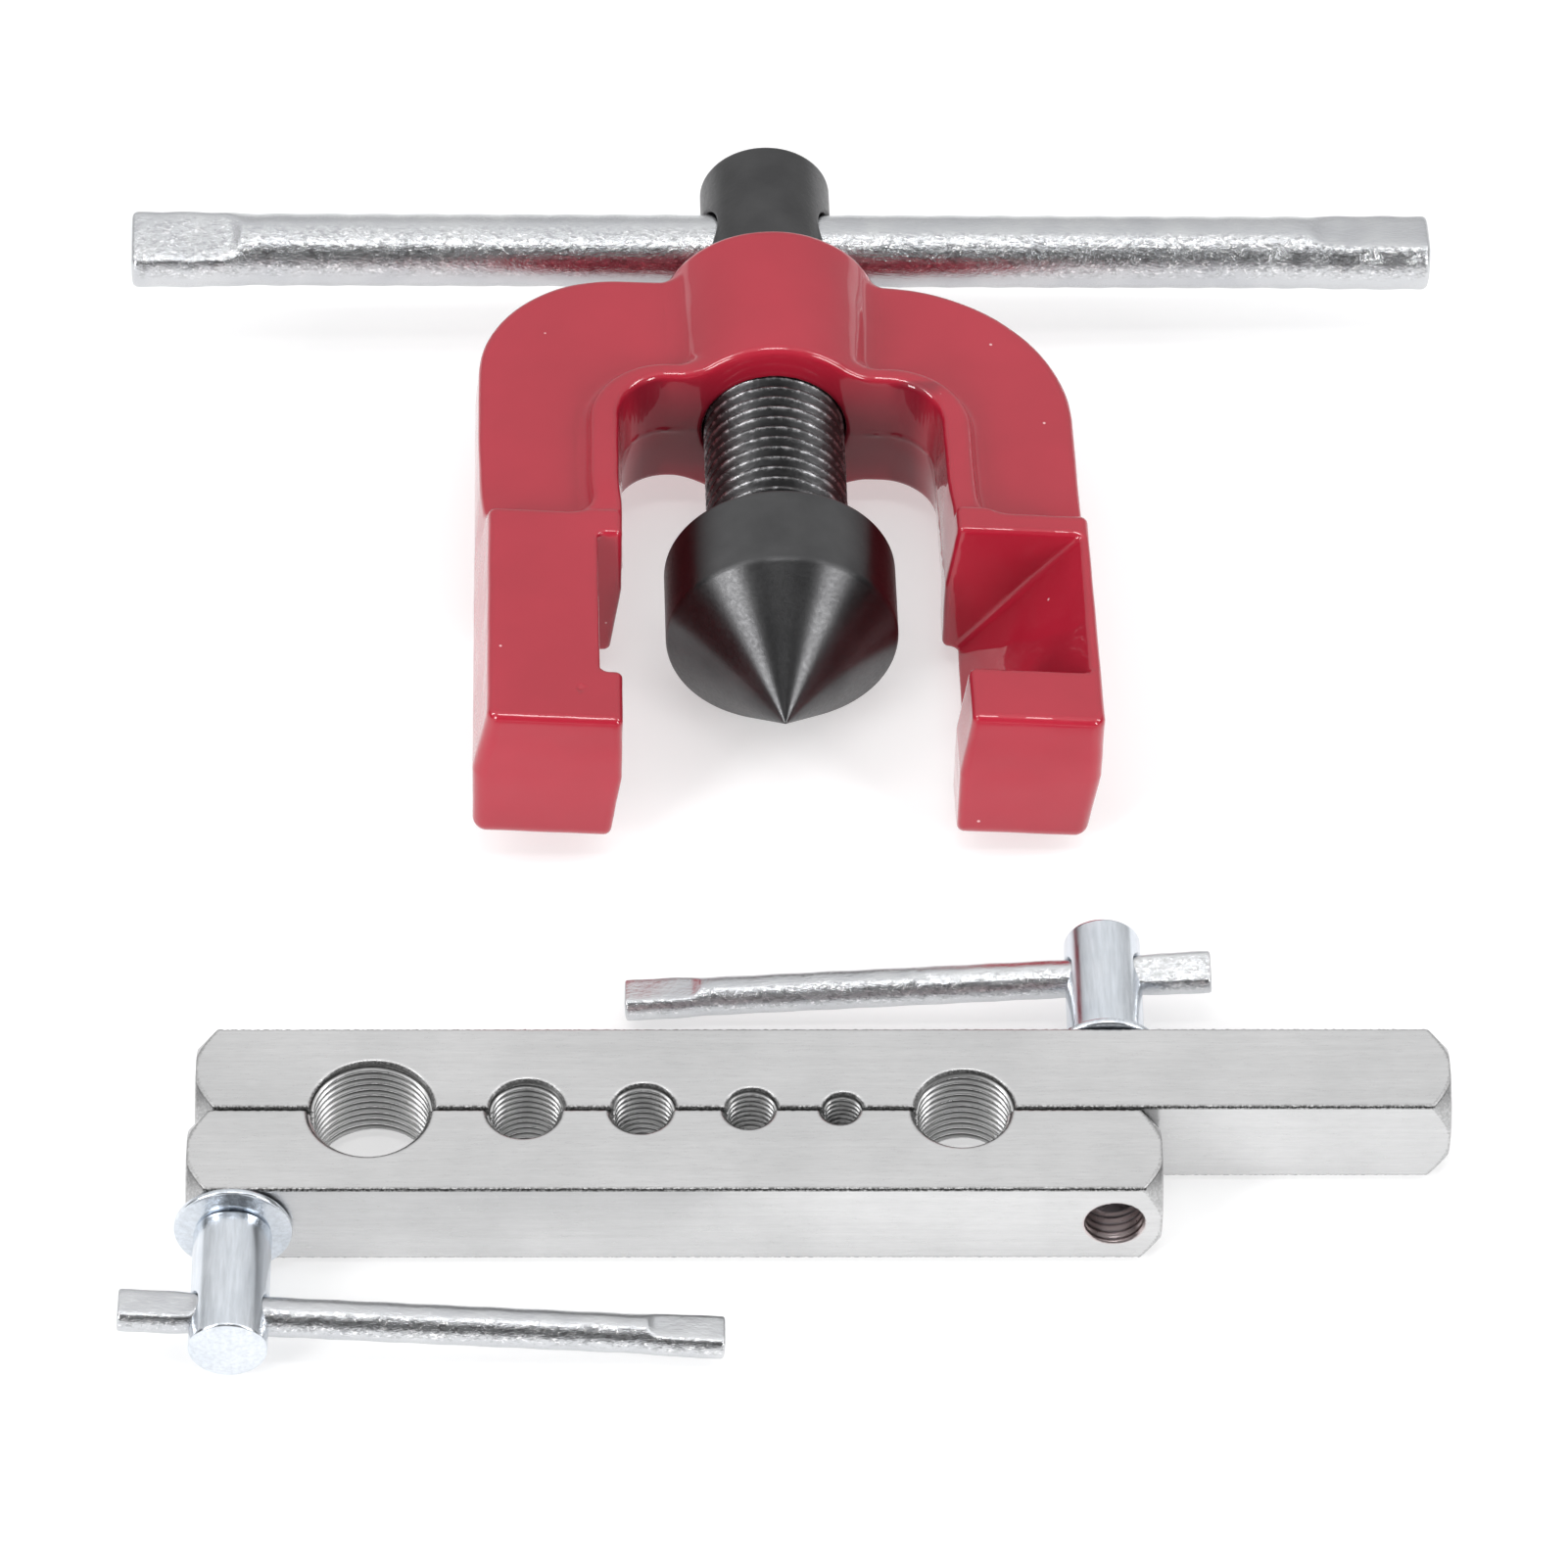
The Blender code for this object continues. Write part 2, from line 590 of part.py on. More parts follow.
def make_ball(parent):
    angles = [math.pi * k / BALL_STEPS for k in range(BALL_STEPS + 1)]
    profile = [(BALL_R * math.sin(a), BALL_Y - BALL_R * math.cos(a)) for a in angles]
    add_piece("thrust_ball", turned(profile, segments=16), "ball_steel", parent)


def make_feed(frame):
    carriage = add_empty("cone_axis", parent=frame)
    screw_axis = add_empty("screw_axis", rotation=(0, HANDLE_ROLL, 0), parent=carriage)
    make_feed_screw(screw_axis)
    make_handle(screw_axis)
    make_cone(carriage)
    make_retaining_ring(carriage)
    make_ball(carriage)


def main():
    clear_scene()
    make_bar("long_bar", LONG_X, LONG_Y, clear_x=RIGHT_X, tapped_x=LEFT_X)
    make_bar("short_bar", SHORT_X, SHORT_Y, clear_x=LEFT_X, tapped_x=RIGHT_X)
    make_clamp("left", LEFT_X, outward=-1, face_y=SHORT_Y[0], tip_y=LEFT_TIP_Y,
               long_side=1, plus_roll=math.radians(35))
    make_clamp("right", RIGHT_X, outward=1, face_y=LONG_Y[1], tip_y=RIGHT_TIP_Y,
               long_side=-1, plus_roll=math.radians(-10))
    frame = add_empty("yoke_frame", YOKE_AT, (0, 0, YOKE_YAW))
    make_yoke(frame)
    make_feed(frame)


main()
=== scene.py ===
"""Looks for a tube flaring tool: fine meshes, procedural materials, light and camera.

Two die bars lie along X on the floor (z = 0), their tube holes upright.  The yoke
reaches over them towards +Y, where its feed screw and handle stand; the camera
looks from -Y, the front.  Pieces are made in millimetres in their own frames and
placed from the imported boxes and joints.
"""

import json
import math
import bpy
import numpy as np
from mathutils import Matrix, Vector

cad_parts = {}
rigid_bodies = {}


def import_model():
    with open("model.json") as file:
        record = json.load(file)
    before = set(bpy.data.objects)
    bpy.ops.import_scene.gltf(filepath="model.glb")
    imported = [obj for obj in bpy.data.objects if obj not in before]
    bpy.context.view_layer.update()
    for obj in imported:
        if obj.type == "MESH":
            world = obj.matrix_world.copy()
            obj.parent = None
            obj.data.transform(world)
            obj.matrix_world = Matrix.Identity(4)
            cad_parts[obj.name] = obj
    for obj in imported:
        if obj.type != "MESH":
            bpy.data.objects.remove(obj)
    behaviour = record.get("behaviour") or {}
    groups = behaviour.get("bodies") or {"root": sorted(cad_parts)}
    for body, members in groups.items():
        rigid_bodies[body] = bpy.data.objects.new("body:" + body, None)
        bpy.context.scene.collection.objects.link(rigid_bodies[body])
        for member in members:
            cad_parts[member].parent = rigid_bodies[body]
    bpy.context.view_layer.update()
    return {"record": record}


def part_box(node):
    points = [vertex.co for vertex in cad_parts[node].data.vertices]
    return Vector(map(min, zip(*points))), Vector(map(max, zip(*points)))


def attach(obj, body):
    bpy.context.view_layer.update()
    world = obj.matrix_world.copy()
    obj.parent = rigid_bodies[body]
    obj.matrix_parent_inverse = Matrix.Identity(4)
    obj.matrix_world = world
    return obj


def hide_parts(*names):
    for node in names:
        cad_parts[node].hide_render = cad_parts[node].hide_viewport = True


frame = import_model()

MM = 0.001
joints = {joint["name"]: joint for joint in frame["record"]["behaviour"]["joints"]}


# ---------------------------------------------------------------- distance fields
def meet(a, b, fillet=0.0):
    """Intersection of two distance fields (negative inside), with a fillet."""
    if fillet <= 0:
        return np.maximum(a, b)
    outside = np.hypot(np.maximum(a + fillet, 0), np.maximum(b + fillet, 0))
    return np.minimum(-fillet, np.maximum(a, b)) + outside


def unite(a, b, fillet=0.0):
    return -meet(-a, -b, fillet)


def cut(a, b, fillet=0.0):
    return meet(a, -b, fillet)


def smooth(t):
    t = np.clip(t, 0.0, 1.0)
    return t * t * (3 - 2 * t)


def dome(x, y, z, top, radius):
    """Ball whose topmost point along Y is at top."""
    return np.sqrt(x * x + z * z + (y - top + radius) ** 2) - radius


def wobble(x, y, z, seed):
    """Smooth unevenness in -1..1 from a few sines."""
    return (
        np.sin(x * 1.31 + 1.7 * np.sin(y * 0.73 + seed) + seed)
        + np.sin(y * 1.13 + 1.9 * np.sin(z * 0.91 + 2 * seed) + 2.1 * seed)
        + np.sin(z * 1.47 + 1.6 * np.sin(x * 0.67 + 3 * seed) + 0.7 * seed)
    ) / 3


def thread_radius(theta, along, pitch, major, depth):
    """Radius of a rounded V thread at an angle and a distance along the axis."""
    phase = (along / pitch - theta / (2 * math.pi)) % 1.0
    height = np.abs(phase * 2 - 1)                    # 0 at the root, 1 at the crest
    shape = np.clip((height - 0.10) / 0.76, 0.0, 1.0)
    shape = shape * 0.8 + 0.2 * smooth(shape)
    return major - depth * (1 - shape)


# ------------------------------------------------------------------ mesh making
def cell_points(value, cells):
    """Mean of the edge crossings of each cell, in grid steps."""
    summed = np.zeros((len(cells), 3))
    count = np.zeros(len(cells))
    for d in range(3):
        e, f = [axis for axis in range(3) if axis != d]
        for p in (0, 1):
            for q in (0, 1):
                start = cells.copy()
                start[:, e] += p
                start[:, f] += q
                end = start.copy()
                end[:, d] += 1
                a, b = value[tuple(start.T)], value[tuple(end.T)]
                hit = (a < 0) != (b < 0)
                point = start.astype(float)
                point[:, d] += np.where(hit, a / np.where(hit, a - b, 1), 0)
                summed += np.where(hit[:, None], point, 0)
                count += hit
    return summed / count[:, None]


def cell_faces(inside, index):
    """A quad of cell points round every grid edge that the surface crosses."""
    counts = inside.shape
    faces = []
    for d in range(3):
        e, f = (d + 1) % 3, (d + 2) % 3
        near, far = [slice(None)] * 3, [slice(None)] * 3
        near[d], far[d] = slice(0, counts[d] - 1), slice(1, counts[d])
        at = np.argwhere(inside[tuple(near)] != inside[tuple(far)])
        at = at[(at[:, e] > 0) & (at[:, f] > 0)
                & (at[:, e] < counts[e] - 1) & (at[:, f] < counts[f] - 1)]
        ring = []
        for p, q in ((-1, -1), (0, -1), (0, 0), (-1, 0)):
            cell = at.copy()
            cell[:, e] += p
            cell[:, f] += q
            ring.append(index[tuple(cell.T)])
        quad = np.stack(ring, 1)
        leaving = inside[tuple(at.T)]
        quad[~leaving] = quad[~leaving][:, ::-1]
        faces.append(quad)
    return np.concatenate(faces)


def surface_nets(field, low, high, pitch):
    """Points and faces of field(x, y, z) = 0 on a grid of the given pitch."""
    counts = [int(math.ceil((b - a) / pitch)) + 1 for a, b in zip(low, high)]
    axes = [(a + pitch * np.arange(k)).astype(np.float32) for a, k in zip(low, counts)]
    value = field(axes[0][:, None, None], axes[1][None, :, None], axes[2][None, None, :])
    value = np.broadcast_to(value, counts).astype(np.float32)
    inside = value < 0
    total = np.zeros([k - 1 for k in counts], np.uint8)
    for i in (0, 1):
        for j in (0, 1):
            for k in (0, 1):
                total += inside[i:counts[0] - 1 + i, j:counts[1] - 1 + j, k:counts[2] - 1 + k]
    cells = np.argwhere((total > 0) & (total < 8))
    index = np.full(total.shape, -1, np.int32)
    index[tuple(cells.T)] = np.arange(len(cells))
    origin = np.array([axis[0] for axis in axes], float)
    verts = cell_points(value, cells) * pitch + origin
    # pull each point onto the true surface
    delta = 0.02
    for _ in range(2):
        x, y, z = verts.T
        here = field(x, y, z)
        slope = np.stack([field(x + delta, y, z) - here, field(x, y + delta, z) - here,
                          field(x, y, z + delta) - here], 1) / delta
        step = (here / np.maximum((slope * slope).sum(1), 0.25))[:, None] * slope
        verts = verts - np.clip(step, -0.35 * pitch, 0.35 * pitch)
    return verts, cell_faces(inside, index)


def tube(rings, closed=False):
    """Quads through rings (rows, segs, 3); closed joins the last ring to the first."""
    rows, segs, _ = rings.shape
    row = np.arange(rows if closed else rows - 1)[:, None]
    here, there = row * segs, (row + 1) % rows * segs
    k = np.arange(segs)[None, :]
    after = (k + 1) % segs
    faces = np.stack([here + k, there + k, there + after, here + after], 2)
    return rings.reshape(-1, 3), faces.reshape(-1, 4)


def turned(line, segs):
    """Rings about local Y from an array of (radius, y)."""
    angle = np.arange(segs) * 2 * math.pi / segs
    return np.stack([line[:, 0:1] * np.cos(angle), np.repeat(line[:, 1:2], segs, 1),
                     line[:, 0:1] * np.sin(angle)], 2)


def revolve(profile, segs):
    """Turned shape about local Y from (radius, y, corner rounding), axis to axis."""
    line = []
    for i, (radius, y, rounding) in enumerate(profile):
        corner = Vector((radius, y))
        if rounding <= 0 or i in (0, len(profile) - 1):
            line.append(corner)
            continue
        back = Vector(profile[i - 1][:2]) - corner
        ahead = Vector(profile[i + 1][:2]) - corner
        reach = min(rounding, back.length * 0.49, ahead.length * 0.49)
        start, end = corner + back.normalized() * reach, corner + ahead.normalized() * reach
        for k in range(6):
            t = k / 5
            line.append((1 - t) ** 2 * start + 2 * t * (1 - t) * corner + t * t * end)
    return tube(turned(np.array([tuple(point) for point in line]), segs))


def screw_thread(major, depth, pitch, start, end, segs, taper, unevenness=0.0):
    """Thread about local Y, tapered at both ends: points, faces and crest mask."""
    rows = int(abs(end - start) / (pitch / 20)) + 1
    along = np.linspace(start, end, rows)[:, None]
    theta = (np.arange(segs) * 2 * math.pi / segs)[None, :]
    radius = thread_radius(theta, along, pitch, major, depth)
    radius = radius + unevenness * wobble(np.cos(theta) * 9, np.sin(theta) * 9, along * 1.7, 0.4)
    to_end = np.minimum(np.abs(along - start), np.abs(end - along))
    limit = major - depth * 1.05 + to_end * taper
    radius = np.minimum(radius, np.maximum(limit, 0.5))
    crest = smooth((radius - (major - depth * 0.35)) / (depth * 0.3))
    rings = np.stack([radius * np.cos(theta), along + 0 * theta, radius * np.sin(theta)], 2)
    caps = rings[[0, -1]] * (0.001, 1, 0.001)
    verts, faces = tube(np.concatenate([caps[:1], rings, caps[1:]]))
    return verts, faces, np.pad(crest, ((1, 1), (0, 0))).reshape(-1)


def swaged_ring(x, length, radius, press, theta):
    """One ring of a swaged bar, x from its start; press as in swaged_bar."""
    flat_length, flat, turn, spread = press
    run, bevel, soft = 0.48 * radius, 0.17 * radius, 0.10 * radius
    to_end = x if x < length / 2 else length - x
    # a flat, then a curved run-out up to the round bar
    t = max(0.0, to_end - flat_length + run) / run
    height = flat + (radius * 1.02 - flat) * min(1.0, t) ** 1.6
    grow = spread * (1 - smooth((to_end - flat_length * 0.55) / (flat_length * 0.55)))
    shrink = 0.0
    if to_end < bevel:
        shrink = bevel - math.sqrt(max(0.0, bevel ** 2 - (bevel - to_end) ** 2))
    cosine, sine = np.cos(theta), np.sin(theta)
    y = (radius + grow - shrink) * cosine
    z = (radius - shrink) * sine
    level = height - shrink * 0.8
    over = np.abs(z) - level
    eased = level - soft * np.exp(-np.maximum(over + soft, 0) / soft)
    z = np.sign(z) * np.minimum(np.abs(z), np.where(over > -soft, eased, np.abs(z)))
    uneven = 0.012 * radius * np.sin(x * 0.9 + 2 * theta) if 1 < x < length - 1 else 0
    y, z = y + uneven * cosine, z + uneven * sine
    cos_turn, sin_turn = math.cos(turn), math.sin(turn)
    return y * cos_turn - z * sin_turn, y * sin_turn + z * cos_turn


def swaged_bar(length, radius, shift, presses, segs):
    """Drawn bar along local X, centred on shift, each end pressed flat on two sides.
    presses, low end first: (flat length, half thickness, turn of the flats in radians,
    spread of the sides)."""
    tip = radius * 0.16
    press_a, press_b = presses
    low, high = press_a[0] * 1.35, length - press_b[0] * 1.35
    stations = np.unique(np.concatenate([
        np.linspace(0, tip, 6), np.linspace(tip, low, 60), np.linspace(low, high, 60),
        np.linspace(high, length - tip, 60), np.linspace(length - tip, length, 6),
    ]))
    theta = (np.arange(segs) + 0.5) * 2 * math.pi / segs
    rings = []
    for x in stations:
        press = press_a if x < length / 2 else press_b
        y, z = swaged_ring(x, length, radius, press, theta)
        rings.append(np.stack([np.full(segs, shift - length / 2 + x), y, z], 1))

    def cap(ring, side, size):
        bulge = side * 0.02 * radius * (1 - size)
        return ring * (1, size, size) + (bulge, 0, 0)

    sizes = (0.66, 0.33, 0.002)
    start = [cap(rings[0], -1, size) for size in sizes[::-1]]
    end = [cap(rings[-1], 1, size) for size in sizes]
    return tube(np.array(start + rings + end))


def outward(verts, faces):
    """Turns the faces so that the enclosed volume is positive."""
    a, b, c, d = (verts[faces[:, k]] for k in range(4))
    volume = np.einsum("ij,ij->i", a, np.cross(b, c)).sum()
    volume += np.einsum("ij,ij->i", a, np.cross(c, d)).sum()
    return faces if volume > 0 else faces[:, ::-1]


def joined(*parts):
    """Several (verts, faces) sets as one."""
    verts, faces, base = [], [], 0
    for part_verts, part_faces in parts:
        verts.append(part_verts)
        faces.append(outward(part_verts, part_faces) + base)
        base += len(part_verts)
    return np.concatenate(verts), np.concatenate(faces)


def place(origin=(0, 0, 0), rotation=Matrix.Identity(3)):
    """Matrix from local millimetres to world metres; origin in millimetres."""
    return Matrix.Translation(Vector(origin) * MM) @ rotation.to_4x4() @ Matrix.Scale(MM, 4)


def add_piece(node, body, mesh_data, matrix, finish, **attributes):
    """Fine piece in place of a CAD node, riding on a body; finish: (material, slot), of which the
    slot is not used.
    """
    verts, faces = mesh_data
    faces = outward(verts, faces)
    material, slot = finish
    matrix = np.array(matrix, np.float64)
    world = verts @ matrix[:3, :3].T + matrix[:3, 3]
    name = node + "_fine"
    mesh = bpy.data.meshes.new(name)
    mesh.vertices.add(len(world))
    mesh.vertices.foreach_set("co", world.astype(np.float32).ravel())
    mesh.loops.add(faces.size)
    mesh.loops.foreach_set("vertex_index", faces.astype(np.int32).ravel())
    mesh.polygons.add(len(faces))
    mesh.polygons.foreach_set("loop_start", np.arange(0, faces.size, 4, dtype=np.int32))
    mesh.update(calc_edges=True)
    mesh.validate()
    mesh.shade_smooth()
    for key, values in attributes.items():
        layer = mesh.attributes.new(key, "FLOAT", "POINT")
        layer.data.foreach_set("value", values.astype(np.float32))
    mesh.materials.append(material)
    obj = bpy.data.objects.new(name, mesh)
    bpy.context.scene.collection.objects.link(obj)
    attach(obj, body)
    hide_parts(node)


# ---------------------------------------------------------------- shader graphs
class Graph:
    """Short calls for building a node tree; inputs take a value or a socket."""

    def __init__(self, tree):
        self.tree = tree

    def put(self, socket, value):
        if isinstance(value, bpy.types.NodeSocket):
            self.tree.links.new(value, socket)
        elif socket.type == "RGBA":
            socket.default_value = (*value, 1)
        else:
            socket.default_value = value

    def add(self, kind, inputs=None, **settings):
        node = self.tree.nodes.new(kind)
        for key, value in settings.items():
            setattr(node, key, value)
        for key, value in (inputs or {}).items():
            self.put(node.inputs[key], value)
        return node

    def coords(self, stretch=(1, 1, 1)):
        """Object coordinates in millimetres, times stretch."""
        vector = self.add("ShaderNodeTexCoord").outputs["Object"]
        scale = [1000 * s for s in stretch]
        mapping = self.add("ShaderNodeMapping", {"Vector": vector, "Scale": scale})
        return mapping.outputs["Vector"]

    def noise(self, scale=1.0, detail=3.0, rough=0.5, stretch=(1, 1, 1), vector=None):
        inputs = {"Scale": scale, "Detail": detail, "Roughness": rough,
                  "Vector": vector or self.coords(stretch)}
        return self.add("ShaderNodeTexNoise", inputs).outputs["Fac"]

    def ramp(self, value, stops):
        """stops: (position, colour or grey)."""
        node = self.add("ShaderNodeValToRGB", {"Fac": value})
        elements = node.color_ramp.elements
        while len(elements) < len(stops):
            elements.new(0.5)
        for element, (position, colour) in zip(elements, stops):
            element.position = position
            rgb = colour if hasattr(colour, "__len__") else (colour,) * 3
            element.color = (*rgb, 1)
        return node.outputs["Color"]

    def tone(self, value, low, high, over=(0.3, 0.7)):
        """Colour going from low to high as value crosses the range over."""
        return self.ramp(value, [(over[0], low), (over[1], high)])

    def span(self, value, to, over=(0.3, 0.7)):
        """Clamped map of value from the range over to the range to."""
        inputs = {"Value": value, "From Min": over[0], "From Max": over[1],
                  "To Min": to[0], "To Max": to[1]}
        return self.add("ShaderNodeMapRange", inputs).outputs["Result"]

    def math(self, operation, a, b=None):
        inputs = {0: a} if b is None else {0: a, 1: b}
        return self.add("ShaderNodeMath", inputs, operation=operation).outputs["Value"]

    def times(self, a, b):
        return self.math("MULTIPLY", a, b)

    def dot(self, vector, direction):
        inputs = {0: vector, 1: direction}
        return self.add("ShaderNodeVectorMath", inputs, operation="DOT_PRODUCT").outputs["Value"]

    def scaled(self, colour, factor):
        inputs = {0: colour, "Scale": factor}
        return self.add("ShaderNodeVectorMath", inputs, operation="SCALE").outputs[0]

    def mix(self, amount, base, to):
        inputs = {0: amount, 6: base, 7: to}
        return self.add("ShaderNodeMix", inputs, data_type="RGBA").outputs[2]

    def attribute(self, name):
        return self.add("ShaderNodeAttribute", attribute_name=name).outputs["Fac"]

    def bump(self, height, depth, strength, over=None):
        """Bumped normal, depth in mm; over is the normal it is laid on."""
        inputs = {"Distance": depth * MM, "Strength": strength, "Height": height}
        if over is not None:
            inputs["Normal"] = over
        return self.add("ShaderNodeBump", inputs).outputs["Normal"]

    def flecks(self, scale, size, patch_scale, patch):
        """Small dots, kept only where a broad noise rises through the range patch."""
        dots = self.add("ShaderNodeTexVoronoi", {"Scale": scale, "Vector": self.coords()})
        dot = self.span(dots.outputs["Distance"], over=size, to=(1.0, 0.0))
        gate = self.span(self.noise(patch_scale, detail=1.0), over=patch, to=(0.0, 1.0))
        return self.times(dot, gate)


class Material(Graph):
    def __init__(self, name):
        self.mat = bpy.data.materials.new(name)
        self.mat.use_nodes = True
        super().__init__(self.mat.node_tree)

    def finish(self, **values):
        """Sets the principled shader's inputs and returns the material."""
        shader = self.tree.nodes["Principled BSDF"]
        for key, value in values.items():
            self.put(shader.inputs[key.replace("_", " ")], value)
        return self.mat


# ---------------------------------------------------------------- materials
def nickel_material():
    """Satin nickel plate: short fine lines along the bar, faint clouding."""
    m = Material("nickel_plate")
    lines = m.noise(stretch=(0.42, 3.6, 3.6), detail=4.0, rough=0.66)
    fine = m.noise(stretch=(1.3, 8.0, 8.0), detail=2.0, rough=0.6)
    long = m.noise(stretch=(0.03, 1.4, 1.4), detail=3.0, rough=0.55)
    cloud = m.noise(scale=0.055, detail=4.0, rough=0.55)
    pits = m.noise(scale=1.9, detail=4.0, rough=0.65)
    tone = m.tone(cloud, over=(0.32, 0.68),
                  low=(0.595, 0.597, 0.599), high=(0.675, 0.675, 0.677))
    streak = m.times(m.span(lines, to=(0.95, 1.04)), m.span(long, to=(0.965, 1.03)))
    # painted shade along edges, hole rims and groove valleys, broken up by specks outside the
    # bores
    edge = m.attribute("edge")
    speck = m.span(m.noise(scale=2.6, rough=0.75), over=(0.38, 0.56), to=(0.25, 1.0))
    dark = m.times(edge, m.math("MAXIMUM", speck, m.attribute("bore")))
    # painted light brightens the bores; painted shade darkens the edges, hole rims and groove
    # valleys; coppery in the tapped hole
    base = m.mix(m.times(m.attribute("bore"), 0.8), m.scaled(tone, streak), to=(0.92, 0.92, 0.92))
    base = m.mix(dark, base, to=(0.045, 0.044, 0.043))
    base = m.mix(m.times(m.attribute("copper"), 0.7), base, to=(0.58, 0.46, 0.45))
    rough = m.math("ADD", m.span(lines, to=(0.26, 0.36)), m.times(edge, 0.05))
    normal = m.bump(lines, depth=0.010, strength=0.5)
    normal = m.bump(fine, depth=0.006, strength=0.5, over=normal)
    normal = m.bump(pits, depth=0.016, strength=0.35, over=normal)
    return m.finish(Base_Color=base, Metallic=1.0, Roughness=rough, Normal=normal)


def zinc_material():
    """Bright bluish zinc plate on turned parts: soft streaks along Y."""
    m = Material("zinc_plate")
    cloud = m.noise(scale=0.13, detail=4.0, rough=0.55)
    streaks = m.noise(stretch=(1.5, 0.16, 1.5), rough=0.6)
    grain = m.noise(scale=2.6, detail=4.0, rough=0.65)
    tone = m.tone(cloud, low=(0.63, 0.675, 0.73), high=(0.73, 0.765, 0.81))
    normal = m.bump(streaks, depth=0.014, strength=0.5)
    normal = m.bump(grain, depth=0.006, strength=0.3, over=normal)
    return m.finish(Base_Color=m.scaled(tone, m.span(streaks, to=(0.90, 1.10))), Metallic=1.0,
                    Roughness=m.span(streaks, to=(0.17, 0.27)), Normal=normal)


def bar_material():
    """Bright zinc plate over drawn bar: a coarse grain, with painted dark flecks and bright
    glints where the bar faces the dark front of the room.
    """
    m = Material("drawn_bar_zinc")
    grain = m.noise(stretch=(1.9, 3.4, 3.4), detail=4.0, rough=0.74)
    flake = m.noise(stretch=(0.9, 1.7, 1.7), rough=0.72)
    spark = m.noise(stretch=(1.15, 2.1, 2.1), rough=0.74)
    broad = m.noise(scale=0.16)
    tone = m.tone(broad, low=(0.55, 0.562, 0.585), high=(0.63, 0.64, 0.655))
    # painted reflection: flecks and glints are painted only where the bar's side turns to the
    # dark front of the room
    facing = m.dot(m.add("ShaderNodeNewGeometry").outputs["Normal"], (0.0, -0.788, 0.616))
    reflection_band = m.span(facing, over=(0.70, 0.95), to=(0.0, 1.0))
    dark = m.times(m.span(flake, over=(0.51, 0.58), to=(0.0, 0.50)), reflection_band)
    light = m.times(m.span(spark, over=(0.56, 0.62), to=(0.0, 0.9)), reflection_band)
    # painted reflection: dark flecks and bright glints in the base colour
    base = m.mix(dark, tone, to=(0.16, 0.162, 0.166))
    base = m.mix(light, base, to=(0.98, 0.98, 0.99))
    normal = m.bump(grain, depth=0.060, strength=0.9)
    normal = m.bump(flake, depth=0.075, strength=0.9, over=normal)
    return m.finish(Base_Color=base, Metallic=1.0, Roughness=m.span(grain, to=(0.12, 0.22)),
                    Normal=normal)


def enamel_material():
    """Glossy red enamel: deep colour under a clear wet coat, slight orange peel, dust, painted
    shade in the throat.
    """
    m = Material("red_enamel")
    peel = m.noise(scale=0.42, detail=2.0)
    broad = m.noise(scale=0.06, rough=0.55)
    fine = m.noise(scale=3.5, rough=0.6)
    tone = m.tone(broad, low=(0.335, 0.0095, 0.0255), high=(0.375, 0.0125, 0.031))
    dust = m.flecks(scale=0.21, size=(0.035, 0.055), patch_scale=0.09, patch=(0.52, 0.56))
    base = m.mix(dust, tone, to=(0.72, 0.42, 0.44))
    base = m.mix(m.times(m.attribute("parting"), 0.4), base, to=(0.16, 0.012, 0.02))
    # painted shade: the throat's roof is darkened by the shade mask
    base = m.mix(m.times(m.attribute("shade"), 0.5), base, to=(0.055, 0.006, 0.012))
    normal = m.bump(peel, depth=0.05, strength=0.25)
    normal = m.bump(fine, depth=0.004, strength=0.4, over=normal)
    return m.finish(
        Base_Color=base, Metallic=0.0, Roughness=m.span(fine, to=(0.30, 0.42)), Normal=normal,
        Coat_Normal=m.bump(peel, depth=0.035, strength=0.3), Coat_Weight=0.95,
        Coat_Roughness=0.02, Specular_IOR_Level=0.12, IOR=1.5)


def black_material(name, axis_frame, wear_and_glint=False):
    """Black oxide on turned steel: fine rings about the screw axis, satin sheen."""
    m = Material(name)
    # world point to the screw's own frame, then distance from and along the axis
    point = m.add("ShaderNodeTexCoord").outputs["Object"]
    x, y, z = (m.math("ADD", m.dot(point, row[:3]), row[3]) for row in axis_frame.inverted()[:3])
    radius = m.math("SQRT", m.math("ADD", m.times(x, x), m.times(z, z)))
    turning = m.add("ShaderNodeCombineXYZ", {0: radius, 1: y}).outputs[0]
    rings = m.noise(scale=4.5, rough=0.7, vector=turning)
    grain = m.noise(scale=1.9, detail=4.0, rough=0.6)
    broad = m.noise(scale=0.12)
    tone = m.tone(broad, low=(0.072, 0.072, 0.074), high=(0.100, 0.100, 0.102))
    flecks = m.flecks(scale=0.17, size=(0.028, 0.045), patch_scale=0.08, patch=(0.57, 0.60))
    base = m.mix(flecks, tone, to=(0.75, 0.75, 0.75))
    normal = m.bump(rings, depth=0.012, strength=0.5)
    normal = m.bump(grain, depth=0.010, strength=0.35, over=normal)
    if wear_and_glint:
        # bare metal in broken patches on the thread's crests, partly real wear and partly a
        # painted highlight along the crests
        patches = m.noise(scale=0.75, detail=4.0, rough=0.75)
        broken = m.span(patches, over=(0.46, 0.60), to=(0.0, 1.0))
        base = m.mix(m.times(m.attribute("crest"), broken), base, to=(0.36, 0.36, 0.37))
        nicks = m.noise(scale=1.1, detail=4.0, rough=0.7)
        normal = m.bump(nicks, depth=0.10, strength=0.5, over=normal)
    tangent = m.add("ShaderNodeTangent", direction_type="RADIAL", axis="Y")
    return m.finish(
        Base_Color=base, Metallic=1.0, Roughness=m.span(grain, to=(0.30, 0.42)), Normal=normal,
        Tangent=tangent.outputs["Tangent"], Anisotropic=0.3 if wear_and_glint else 0.85,
        Anisotropic_Rotation=0.25)


